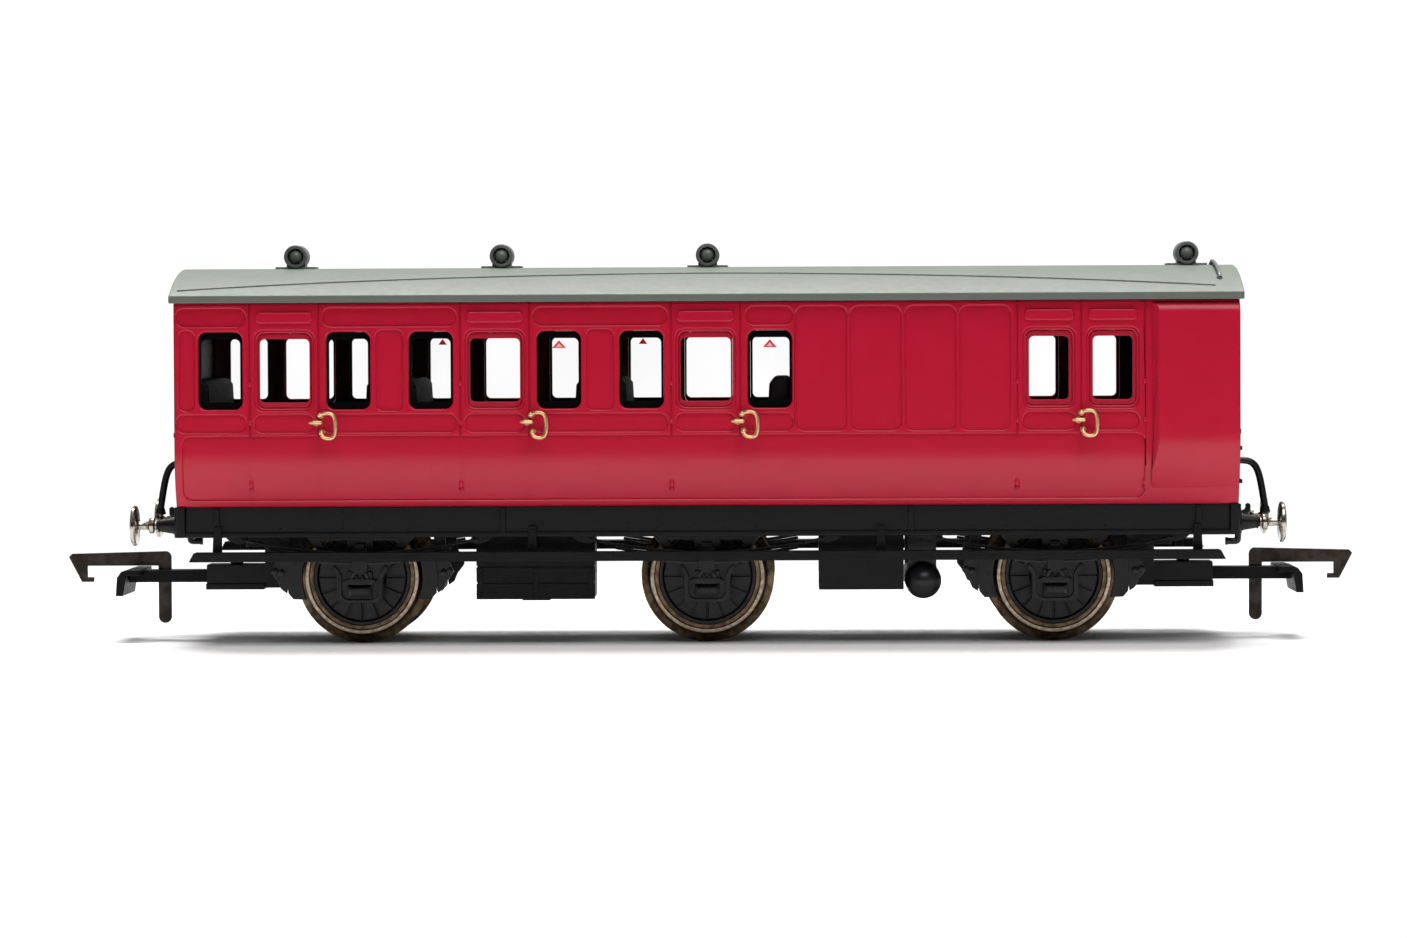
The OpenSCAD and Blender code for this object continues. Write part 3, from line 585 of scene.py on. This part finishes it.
def turned(shape, profile, centre, axis=(0, 1, 0), steps=64):
    """A lathe turning about an axis: profile is (distance along the axis, radius) from end to end."""
    centre, axis = Vector(centre), Vector(axis)
    out = axis.orthogonal().normalized()
    line = [shape.verts.new(centre + axis * along + out * radius) for along, radius in profile]
    edges = [shape.edges.new(pair) for pair in zip(line, line[1:])]
    before = set(shape.verts)
    bmesh.ops.spin(
        shape, geom=line + edges, cent=centre, axis=axis, angle=math.tau, steps=steps, use_merge=True,
    )
    made = line + [v for v in shape.verts if v not in before]
    bmesh.ops.remove_doubles(shape, verts=[v for v in made if v.is_valid], dist=0.001)
    return [v for v in made if v.is_valid]


tank_black = moulded("tank_black", paint(19, 18, 21), paint(26, 25, 29), 0.4, grain=0.002)
tank = bmesh.new()
dome = [(-11.75, 0.0), (-11.6, 0.6), (-11.3, 1.15), (-10.8, 1.65), (-10.2, 2.0), (-9.6, 2.16), (-9.3, 2.2)]
other_dome = [(-along, radius) for along, radius in reversed(dome)]
turned(tank, dome + other_dome, (26.2, 0, 7.44), steps=48)
for y in (-8.0, 8.0):
    block(tank, (24.3, 27.8), (y - 0.4, y + 0.4), (8.5, 15.8))
shown("gas_tank", tank, "coach", tank_black, ["gas_cylinder"])


# ---------------------------------------------------------------------------
# Brake gear: a block either side of each outer wheel, on a hanger from the
# chassis with a lug for the pull rod.

brakes = bmesh.new()
shoe_r, axle_z = 7.35, 8.1
shoe_arc = [math.radians(angle) for angle in range(-22, 19, 4)]
shoe_face = [(shoe_r * math.cos(angle), axle_z + shoe_r * math.sin(angle)) for angle in shoe_arc]
shoe_back = [(8.95, 10.4), (9.2, 8.2), (9.0, 6.1), (8.4, 5.4)]
hanger = [
    (8.6, 15.8), (10.0, 15.8), (10.2, 11.0), (10.9, 9.2), (11.0, 8.5),
    (10.3, 7.6), (9.9, 6.6), (9.2, 6.1), (8.9, 8.0), (8.85, 10.4),
]
for axle in (axle_xs[0], axle_xs[2]):
    for side in (-1, 1):
        for y in ((-9.9, -8.5), (8.5, 9.9)):
            plate(brakes, [(axle + side * px, pz) for px, pz in shoe_face + shoe_back], y)
        for y in ((-9.6, -9.0), (9.0, 9.6)):
            plate(brakes, [(axle + side * px, pz) for px, pz in hanger], y)
        for y in (-9.6, 9.6):
            for px, pz, pin_r, reach in ((9.9, 8.6, 0.4, 0.55), (10.7, 8.8, 0.42, 0.4)):
                x = axle + side * px
                peg(brakes, (x, y - reach, pz), (x, y + reach, pz), pin_r, sides=14)
eased(brakes, 0.05)
shown("brake_rigging", brakes, "coach", gear_black, ["brake_gear"])


# ---------------------------------------------------------------------------
# Buffers: a tapered moulded housing on each headstock, and a turned and plated
# buffer pushed into it. The drawhook sits between them on its plate.

bright_nickel = plated(
    "bright_nickel", paint(150, 142, 132), paint(182, 174, 162), 0.2, blotch=0.6, grain=0.001,
)
housing_line = [
    (beam_face, 0.0), (beam_face, 1.12), (64.75, 1.08), (64.8, 1.0),
    (66.4, 0.74), (66.45, 0.82), (66.6, 0.8), (66.6, 0.0),
]
housings = bmesh.new()
for y in (-buffer_y, buffer_y):
    turned(housings, housing_line, (0, y, buffer_z), (1, 0, 0), 32)
shown("buffer_sockets", other_side(housings, "X"), "coach", satin_black, ["buffer_housings"])

buffer_line = [
    (66.6, 0.0), (66.6, 0.55), (66.75, 0.62), (66.85, 0.5), (66.95, 0.5), (67.05, 0.85), (67.15, 0.95),
    (67.55, 0.95), (67.7, 0.85), (67.75, 0.6), (67.9, 0.5), (68.7, 0.48), (68.95, 0.56), (69.05, 0.9),
    (69.1, 2.1), (69.2, 2.36), (69.35, 2.45), (69.6, 2.42), (69.8, 2.15), (69.92, 1.4), (69.97, 0.7),
    (70.0, 0.0),
]
heads = bmesh.new()
for y in (-buffer_y, buffer_y):
    turned(heads, buffer_line, (0, y, buffer_z), (1, 0, 0), 56)
shown("turned_buffers", other_side(heads, "X"), "coach", bright_nickel, ["buffers"])

drag = bmesh.new()
claw = [
    (beam_face, 14.6), (65.6, 14.6), (66.3, 14.9), (66.7, 15.5), (66.7, 16.2),
    (66.4, 16.4), (66.1, 16.2), (66.1, 15.7), (65.7, 15.45), (beam_face, 15.6),
]
plate(drag, claw, (-0.4, 0.4))
block(drag, (beam_face - 0.05, beam_face + 0.35), (-1.1, 1.1), (14.0, 16.2))
eased(drag, 0.08)
shown("drawhooks", other_side(drag, "X"), "coach", gear_black, ["draw_hooks"])


# ---------------------------------------------------------------------------
# Pipes: the brake pipe comes out of the end wall and bends down to a flared
# mouth; the steam pipe drops down the headstock and turns back under it. Both
# are separate mouldings pushed into holes, one to the right at each end.

def bent(shape, points, radius, sides=3):
    """A round wire or pipe bent along a smooth route."""
    line = bpy.data.curves.new("route", "CURVE")
    line.dimensions = "3D"
    line.bevel_depth, line.bevel_resolution, line.use_fill_caps = radius, sides, True
    route = line.splines.new("NURBS")
    route.points.add(len(points) - 1)
    for point, place in zip(route.points, points):
        point.co = (*place, 1.0)
    route.use_endpoint_u, route.order_u, route.resolution_u = True, 4, 6
    carrier = bpy.data.objects.new("route", line)
    mesh = bpy.data.meshes.new_from_object(carrier)
    before = set(shape.verts)
    shape.from_mesh(mesh)
    bmesh.ops.remove_doubles(shape, verts=[v for v in shape.verts if v not in before], dist=0.001)
    bpy.data.objects.remove(carrier)
    bpy.data.meshes.remove(mesh)


def half_turn(shape):
    """Adds the same again, turned round to the other end."""
    copy = bmesh.ops.duplicate(shape, geom=shape.verts[:] + shape.edges[:] + shape.faces[:])["geom"]
    bmesh.ops.rotate(
        shape, verts=[v for v in copy if isinstance(v, bmesh.types.BMVert)], cent=(0, 0, 0),
        matrix=Matrix.Rotation(math.pi, 3, "Z"),
    )
    return shape


pipe_y, pipe_out, pipe_top = -3.0, 68.2, 21.7
brake = bmesh.new()
route = [
    (beam_face, pipe_top), (65.4, pipe_top + 0.05), (66.7, pipe_top),
    (67.5, 20.3), (67.85, 18.3), (pipe_out, 16.0),
]
bent(brake, [(x, pipe_y, z) for x, z in route], 0.44)
mouth = [(15.25, 0.0), (15.25, 0.62), (15.5, 0.66), (15.7, 0.6), (16.1, 0.52), (16.2, 0.0)]
turned(brake, mouth, (pipe_out, pipe_y, 0), (0, 0, 1), 20)
flange = [(64.2, 0.0), (64.2, 0.62), (64.5, 0.6), (64.6, 0.46), (64.6, 0.0)]
turned(brake, flange, (0, pipe_y, pipe_top), (1, 0, 0), 20)
shown("brake_hoses", half_turn(brake), "coach", gear_black, ["brake_pipes"], smooth=50)

steam_y, steam_low = -4.8, 11.9
steam = bmesh.new()
route = [
    (64.75, 14.6), (64.75, 13.2), (64.75, 12.3),
    (64.7, steam_low), (64.2, steam_low), (63.8, steam_low), (63.3, steam_low),
]
bent(steam, [(x, steam_y, z) for x, z in route], 0.4)
union = [(63.2, 0.0), (63.2, 0.46), (63.5, 0.46), (63.6, 0.4), (63.6, 0.0)]
turned(steam, union, (0, steam_y, steam_low), (1, 0, 0), 18)
block(steam, (64.3, 64.7), (steam_y - 0.3, steam_y + 0.3), (13.8, 14.3))
shown("steam_elbows", half_turn(steam), "coach", gear_black, ["steam_pipes"], smooth=50)


# ---------------------------------------------------------------------------
# Couplings: a socket under each end holds a slotted bar with a turned-down
# front, and a stamped steel hook rocks on a pin through the bar.

sockets = bmesh.new()
block(sockets, (54.6, 61.9), (-2.1, 2.1), (6.9, 9.3))
block(sockets, (54.7, 62.0), (-2.3, 2.3), (6.2, 7.0))
block(sockets, (50.5, 54.7), (-2.1, 2.1), (6.4, 15.8))
block(sockets, (52.0, 52.5), (-2.3, 2.3), (6.4, 10.4))
eased(sockets, 0.12)
peg(sockets, (58.4, 0, 9.2), (58.4, 0, 9.5), 0.8, sides=24)
other_side(sockets, "X")
shown("coupling_sockets", sockets, "coach", satin_black, ["coupling_pockets"])

bar_black = moulded("bar_black", paint(9, 9, 10), paint(13, 13, 14), 0.5, Specular_IOR_Level=0.15)
show_solid("coupling_arms", "coupling_bars", 0.08, bar_black)

hook_steel = plated("browned_steel", paint(50, 45, 42), paint(68, 62, 58), 0.42, blotch=1.4, grain=0.006)
for end in ("compartment", "guards"):
    show_solid(f"{end}_end_hook", f"{end}_hook", 0.07, hook_steel, f"{end}_coupling")


# ---------------------------------------------------------------------------
# Wheelsets: a blackened tyre with its flange, turned bright on the rim, pressed
# on a disc moulded as sixteen bolted wooden segments. A steel axle with a pin at
# each end runs through both discs.

tyre_metal = plated("bronzed_tyre", paint(88, 72, 56), paint(132, 111, 87), 0.36, blotch=0.9, grain=0.004)
along, across, up = tyre_metal.axes()
half_pitch = (axle_xs[1] - axle_xs[0]) / 2 * mm
wrapped = {0: along, 1: half_pitch, 2: -half_pitch}
from_axle = tyre_metal.node("ShaderNodeMath", {"operation": "WRAP"}, wrapped)
height = up - axle_z * mm
radius = (from_axle * from_axle + height * height) ** 0.5
outer_face = tyre_metal.node("ShaderNodeMath", {"operation": "ABSOLUTE"}, {0: across}) > 9.85 * mm
rim = tyre_metal.ranged(radius, 6.35 * mm, 6.5 * mm, 0.0, 1.0) * outer_face
rim *= tyre_metal.ranged(radius, 6.8 * mm, 6.95 * mm, 1.0, 0.0)
worn = tyre_metal.ranged(tyre_metal.noise(0.5, 4.0), 0.3, 0.75, 0.35, 1.0)
tyre_metal.overlay(rim * worn, paint(206, 190, 170))

wheel_black = moulded(
    "wheel_black", paint(18, 18, 20), paint(27, 27, 30), 0.34, size=0.1, Specular_IOR_Level=0.35,
)
tyre_line = [
    (7.25, 5.95), (7.25, 7.75), (7.38, 8.02), (7.55, 8.1), (7.75, 8.02), (7.95, 7.6), (8.1, 7.3),
    (8.3, 7.12), (8.6, 7.06), (9.85, 6.96), (10.0, 6.9), (10.05, 6.8), (10.05, 6.5), (9.95, 6.42),
    (9.9, 6.35), (9.9, 5.95),
]
disc_line = [
    (7.3, 1.0), (7.3, 5.95), (9.7, 5.95), (9.8, 5.85), (9.8, 5.5), (9.7, 5.42), (9.3, 5.42), (9.2, 5.3),
    (9.2, 2.8), (9.3, 2.7), (9.7, 2.65), (9.8, 2.55), (9.8, 1.9), (9.9, 1.8), (10.0, 1.6), (10.0, 1.0),
]
pin = [(-12.9, 0.0), (-12.9, 0.6), (-12.75, 0.75), (-10.0, 0.75), (-10.0, 1.0)]
axle_line = pin + [(-along, radius) for along, radius in reversed(pin)]
segments = 16
segment_in, segment_out, joint_half = 2.9, 5.25, 0.11


def ring(shape, line, x, steps):
    """A turned ring on the near side of an axle; the line closes on itself."""
    outward = [(-along, radius) for along, radius in line]
    turned(shape, outward + outward[:1], (x, 0, axle_z), steps=steps)


for name, x in zip(("compartment", "middle", "guards"), axle_xs):
    tyres = bmesh.new()
    ring(tyres, tyre_line, x, 96)
    other_side(tyres)
    turned(tyres, axle_line, (x, 0, axle_z), steps=24)
    shown(f"{name}_tyres", tyres, f"{name}_wheels", tyre_metal, [f"{name}_wheelset"])
    discs = bmesh.new()
    ring(discs, disc_line, x, 96)
    for number in range(segments):
        turn = Matrix.Rotation(math.tau * (number + 0.5) / segments, 3, "Y")
        spread = math.tan(math.pi / segments)
        outline = [
            (segment_in, segment_in * spread - joint_half), (segment_out, segment_out * spread - joint_half),
            (segment_out, joint_half - segment_out * spread), (segment_in, joint_half - segment_in * spread),
        ]
        wood = plate(discs, outline, (-9.62, -9.1))
        edges = list({e for v in wood for e in v.link_edges})
        made = bmesh.ops.bevel(
            discs, geom=edges, offset=0.05, segments=1, profile=0.5, affect="EDGES", material=-1,
        )["verts"]
        bmesh.ops.rotate(discs, verts=made, cent=(0, 0, 0), matrix=turn)
        bmesh.ops.translate(discs, vec=(x, 0, axle_z), verts=made)
        for bolt_r in (5.68, 2.25):
            spot = turn @ Vector((bolt_r, 0, 0))
            bolt(discs, x + spot.x, -9.8, axle_z + spot.z, 0.13, 0.1)
    other_side(discs)
    shown(f"{name}_discs", discs, f"{name}_wheels", wheel_black, [f"{name}_wheel_centres"])


# ---------------------------------------------------------------------------
# Body sides: one moulding with the panel beading, door joints, hinges and
# ventilator bonnets cut into the tool. It is sprayed crimson, apart from the
# end faces, which are black like the end walls.

crimson = moulded(
    "crimson_coat", paint(182, 20, 48), paint(185, 21, 50), 0.26, grain=0.0003, uneven=0.008,
    Specular_IOR_Level=0.34,
)
along, across, up = crimson.axes()
side_end = 63.94
end_face = crimson.node("ShaderNodeMath", {"operation": "ABSOLUTE"}, {0: along}) > side_end * mm
crimson.overlay(end_face, paint(9, 9, 10))
door_xs = (-50.7, -25.35, 0.0)
door_joints = [x + side * 4.15 for x in door_xs for side in (-1, 1)] + [37.35, 45.0, 52.65]
side_y, tumble_z, tumble_r, bead = -16.0, 23.5, 13.37, 0.3
hinge_xs = (-54.85, -29.5, -4.15, 37.35, 52.65)


def face_y(z):
    """How far out the side's face is at a height: upright down to the tumblehome, then curving in."""
    drop = max(0.0, tumble_z - z)
    return side_y + tumble_r - math.sqrt(tumble_r**2 - drop**2)


def curved_rib(shape, x, width, sunk, top, foot):
    """A fine upright line that follows the tumblehome on a face sunk behind the side's."""
    centre = Vector((x, side_y + tumble_r, tumble_z))
    outer, inner = side_y + sunk - 0.05, side_y + sunk + 0.1
    left, right = x - width / 2, x + width / 2
    corners = ((left, outer), (right, outer), (right, inner), (left, inner))
    end = shape.faces.new([shape.verts.new((px, py, tumble_z)) for px, py in corners])
    sweep = math.asin((tumble_z - foot) / tumble_r)
    bmesh.ops.spin(shape, geom=[end], cent=centre, axis=(1, 0, 0), angle=sweep, steps=8)
    block(shape, (left, right), (outer, inner), (tumble_z, top))


def side_fittings(shape):
    block(shape, (-63.9, 53.3), (side_y - 0.07, side_y + 0.1), (40.98, 41.12))
    for x in door_joints:
        for dx in (-0.19, 0.19):
            block(shape, (x + dx - 0.06, x + dx + 0.06), (side_y - 0.05, side_y + 0.1), (25.6, 40.98))
        curved_rib(shape, x, 0.1, bead, 25.2, 17.7)
    for x in (52.9, 53.3):
        curved_rib(shape, x, 0.14, 0.02, 25.6, 17.4)
    for x in hinge_xs:
        for z, wide, tall in ((19.6, 0.3, 0.62), (18.9, 0.36, 0.2)):
            ball(shape, (x, face_y(z) + bead - 0.02, z), 1.0, squash=(wide, 0.26, tall), detail=6)
        for z in (27.0, 31.6):
            ball(shape, (x, side_y - 0.02, z), 1.0, squash=(0.2, 0.2, 0.34), detail=6)
    return shape


def turn_over(shape):
    """Moves a shape to the other side of the coach."""
    bmesh.ops.scale(shape, vec=(1, -1, 1), verts=shape.verts)
    bmesh.ops.reverse_faces(shape, faces=shape.faces)


def is_fine(edge):
    """Whether an edge is the lip of the groove between a door and its frame, or the side's own end."""
    start, end = (v.co for v in edge.verts)
    in_groove = min(abs(abs(start.x - x) - 0.1) for x in door_joints) < 0.02
    return abs(start.x - end.x) < 0.01 and (in_groove or abs(start.x) > 63.9)


for side in ("near", "far"):
    walls = merged(f"{side}_side")
    eased(walls, 0.1, 3, [e for e in sharp_edges(walls) if e.is_convex and is_fine(e)])
    eased(walls, 0.22, 3, [e for e in sharp_edges(walls) if e.is_convex and not is_fine(e)])
    if side == "far":
        turn_over(walls)
    fittings = side_fittings(bmesh.new())
    bmesh.ops.recalc_face_normals(fittings, faces=fittings.faces)
    spare = bpy.data.meshes.new("fittings")
    fittings.to_mesh(spare)
    fittings.free()
    walls.from_mesh(spare)
    bpy.data.meshes.remove(spare)
    if side == "far":
        turn_over(walls)
    shown(f"{side}_panelling", walls, "coach", crimson, [f"{side}_side"], whole=True)

for side in ("near", "far"):
    show_solid(f"{side}_lookout", f"{side}_ducket", 0.16, crimson, segments=3, smooth=50)
for end in ("compartment", "guards"):
    show_solid(f"{end}_end_wall", f"{end}_end", 0.08, satin_black)


# ---------------------------------------------------------------------------
# Windows: black frames moulded with the glazing insert show in the quarter
# lights, the doors have red droplights, and clear panes run behind them all.
# Plain red triangles are stuck in four of the panes.

frame_black = moulded("frame_black", paint(3, 3, 4), paint(5, 5, 6), 0.5, Specular_IOR_Level=0.04)
droplight_red = moulded("droplight_red", paint(168, 18, 44), paint(172, 20, 47), 0.36, Specular_IOR_Level=0.3)
show_solid("quarter_light_frames", "window_frames", 0.07, frame_black)
show_solid("door_droplights", "droplight_frames", 0.11, droplight_red)

clear = Finish("clear_pane", Roughness=0.03, IOR=1.49, Base_Color=(0.02, 0.025, 0.025, 1.0))
clear.set(Alpha=clear.ranged(clear.noise(18.0), 0.3, 0.7, 0.01, 0.03))
for side in ("near", "far"):
    show_solid(f"{side}_panes", f"{side}_glazing", 0.05, clear)

# Painted glow: the red stickers get a faint emission, standing in for light coming through the panes behind
# them.
sticker_red_painted_glow = moulded(
    "sticker_red_painted_glow", paint(190, 24, 36), paint(200, 30, 42), 0.5,
    Emission_Color=paint(200, 30, 42), Emission_Strength=0.5,
)
sticker_pale = moulded("sticker_pale", paint(226, 200, 196), paint(232, 210, 206), 0.5)
near_sticker_xs, far_sticker_xs = (-17.65, 7.7), (-33.85, -8.5)
stickers, centres = bmesh.new(), bmesh.new()
for x in far_sticker_xs:
    plate(stickers, [(x - 0.55, 36.2), (x + 0.55, 36.2), (x, 36.95)], (14.79, 14.83))
for x in near_sticker_xs:
    plate(stickers, [(x - 0.85, 35.85), (x + 0.85, 35.85), (x, 36.8)], (-14.83, -14.79))
    plate(centres, [(x - 0.4, 35.98), (x + 0.4, 35.98), (x, 36.45)], (-14.85, -14.82))
shown("red_triangles", stickers, "coach", sticker_red_painted_glow, [])
shown("triangle_centres", centres, "coach", sticker_pale, [])


# ---------------------------------------------------------------------------
# Inside: partitions between the compartments and a bench against each, moulded
# in dark plastic.

seat_brown = moulded(
    "seat_brown", paint(16, 12, 11), paint(22, 17, 15), 0.6, grain=0.01, Specular_IOR_Level=0.15,
)
show_solid("compartment_walls", "partitions", 0.1, inside_black)
show_solid("benches", "seats", 0.5, seat_brown, segments=4)


# ---------------------------------------------------------------------------
# Roof: a clip-on moulding in pale grey with its rain strips and ventilator
# bases moulded in, and its upright edge painted darker as shade. Torpedo ventilators and
# the lamp-iron rail are separate and plug into it.

crown, roof_r, fascia_top = 45.7, 43.7, 42.2
roof_grey = moulded(
    "roof_grey", paint(107, 115, 104), paint(111, 119, 108), 0.5, grain=0.004, size=0.25, blotch=6.0,
)
along, across, up = roof_grey.axes()
# Painted shade: the upright fascia below the roof's top edge is coloured darker, standing in for the overhead
# light it does not catch.
fascia_painted_shade = roof_grey.ranged(up, (fascia_top - 0.05) * mm, (fascia_top + 0.05) * mm, 1.0, 0.0)
roof_grey.overlay(fascia_painted_shade, paint(96, 103, 95))
show_solid("clip_on_roof", "roof", 0.14, roof_grey, segments=3)


def roof_z(y, proud=0.0):
    return crown - roof_r + math.sqrt((roof_r + proud) ** 2 - y**2)


def strip_y(x):
    """Rain strips bow from the eaves at the ends towards the crown in the middle."""
    return 8.7 + 6.7 * abs(x / 63.7) ** 1.6


strips = bmesh.new()
strip_start, strip_end = -63.6, 61.2
xs = [strip_start + step * (strip_end - strip_start) / 24 for step in range(25)]
for side in (-1, 1):
    bent(strips, [(x, side * strip_y(x), roof_z(strip_y(x), 0.02)) for x in xs], 0.14, sides=2)
vent_xs = (-50.7, -25.35, 0.0, 58.8)
for x in vent_xs:
    base = block(strips, (x - 2.5, x + 2.5), (-1.7, 1.7), (crown - 0.3, crown + 0.22))
    on_base = [e for e in strips.edges if all(v in base for v in e.verts)]
    edges = [e for e in on_base if min(v.co.z for v in e.verts) > crown]
    bmesh.ops.bevel(strips, geom=edges, offset=0.12, segments=2, profile=0.5, affect="EDGES", material=-1)
shown("rain_strips_and_bases", strips, "coach", roof_grey, [])

vent_grey = moulded("ventilator_grey", paint(100, 103, 101), paint(114, 117, 115), 0.3)
vents, vent_z = bmesh.new(), 47.15
shell = [
    (-2.0, 1.02), (-2.05, 1.2), (-2.0, 1.36), (-1.8, 1.44), (-0.5, 1.39), (0.5, 1.39), (1.8, 1.44),
    (2.0, 1.36), (2.05, 1.2), (2.0, 1.02), (1.75, 0.98), (1.2, 1.0), (1.2, 0.6), (0.0, 0.5), (-1.2, 0.6),
    (-1.2, 1.0), (-1.75, 0.98),
]
for x in vent_xs:
    turned(vents, shell + shell[:1], (x, 0, vent_z), steps=40)
    for y in (-1.35, 1.35):
        ball(vents, (x, y, vent_z), 0.82, detail=12)
        for turn in range(4):
            arm = block(vents, (0.6, 1.1), (y - 0.25, y + 0.1), (-0.08, 0.08))
            quarter = Matrix.Rotation(math.tau * (turn + 0.5) / 4, 3, "Y")
            bmesh.ops.rotate(vents, verts=arm, cent=(0, 0, 0), matrix=quarter)
            bmesh.ops.translate(vents, vec=(x, 0, vent_z), verts=arm)
    block(vents, (x - 1.15, x + 1.15), (-1.3, 1.3), (crown + 0.15, crown + 0.5))
    block(vents, (x - 0.7, x + 0.7), (-1.0, 1.0), (crown + 0.4, crown + 0.8))
shown("torpedo_ventilators", vents, "coach", vent_grey, ["roof_ventilators"])

def off_roof(angle, height):
    """A point over the roof beside the guard's end, `angle` degrees down the near slope."""
    a = math.radians(angle)
    return Vector((61.9, 0, crown - roof_r)) + Vector((0, -math.sin(a), math.cos(a))) * (roof_r + height)


rail = bmesh.new()
angles = (0.2, 0.7, 2.0, 6.0, 10.0, 14.0, 16.0, 16.6)
heights = (0.2, 0.45, 0.52, 0.52, 0.52, 0.52, 0.5, 0.2)
bent(rail, [off_roof(angle, height) for angle, height in zip(angles, heights)], 0.22)
for angle in (1.0, 16.3):
    peg(rail, off_roof(angle, -0.1), off_roof(angle, 0.25), 0.42, 0.3, sides=14)
shown("roof_rail", rail, "coach", vent_grey, ["roof_handrail"], smooth=50)


# ---------------------------------------------------------------------------
# Handles: a T-shaped handle and a curled grab handle beside each door, formed
# from brass-plated wire and pushed into holes in the side.

brass = plated("pale_brass", paint(222, 184, 130), paint(236, 204, 156), 0.38, blotch=0.5, grain=0.001)
door_handles, grab_handles = bmesh.new(), bmesh.new()


def t_handle(shape, x, side):
    y, z = -side * side_y, 27.0
    bar_y = y + side * 0.9
    peg(shape, (x, y, z), (x, y + side * 0.75, z), 0.3, sides=14)
    peg(shape, (x, y, z), (x, y + side * 0.18, z), 0.42, sides=16)
    bar = bmesh.ops.create_cone(
        shape, cap_ends=True, segments=14, radius1=0.27, radius2=0.26, depth=0.9,
    )["verts"]
    bmesh.ops.rotate(shape, verts=bar, cent=(0, 0, 0), matrix=Matrix.Rotation(math.radians(90), 3, "Y"))
    bmesh.ops.translate(shape, verts=bar, vec=(x + 0.1, bar_y, z))
    peg(shape, (x - 0.34, bar_y, z), (x - 0.8, bar_y, z), 0.27, 0.1, sides=14)
    ball(shape, (x + 0.55, bar_y, z), 0.27, detail=7)


def grab_handle(shape, x, side):
    """A loop of wire: from its upper foot over the top, down the far side and back to its lower foot."""
    y = -side * side_y
    route = [
        (-0.9, -0.1, 27.85), (-0.9, 0.55, 27.9), (-0.75, 0.95, 28.0), (-0.1, 1.05, 28.2), (0.75, 1.05, 28.05),
        (0.98, 1.05, 27.3), (0.98, 1.05, 26.6), (0.98, 1.05, 25.9), (0.75, 1.05, 25.15), (0.1, 1.05, 25.05),
        (-0.5, 1.0, 25.2), (-0.75, 0.9, 25.6), (-0.73, 0.5, 25.8), (-0.7, -0.1, 25.85),
    ]
    bent(shape, [(x + dx, y + side * out, z) for dx, out, z in route], 0.24, sides=3)
    ball(shape, (x - 0.9, y + side * 0.75, 27.9), 0.34, detail=8)
    ball(shape, (x - 0.73, y + side * 0.8, 25.75), 0.32, detail=8)
    for z, dx in ((27.85, -0.9), (25.85, -0.7)):
        peg(shape, (x + dx, y - side * 0.05, z), (x + dx, y + side * 0.15, z), 0.36, sides=14)


for side in (-1, 1):
    for x in door_xs:
        t_handle(door_handles, x - side * 3.85, side)
        grab_handle(grab_handles, x - side * 5.25, side)
    t_handle(door_handles, 45.0 + side * 0.3, side)
    grab_handle(grab_handles, 45.0 - side * 0.9, side)
shown("turned_door_handles", door_handles, "coach", brass, ["door_handles"], smooth=50)
shown("curled_grab_handles", grab_handles, "coach", brass, ["grab_handles"], smooth=60)
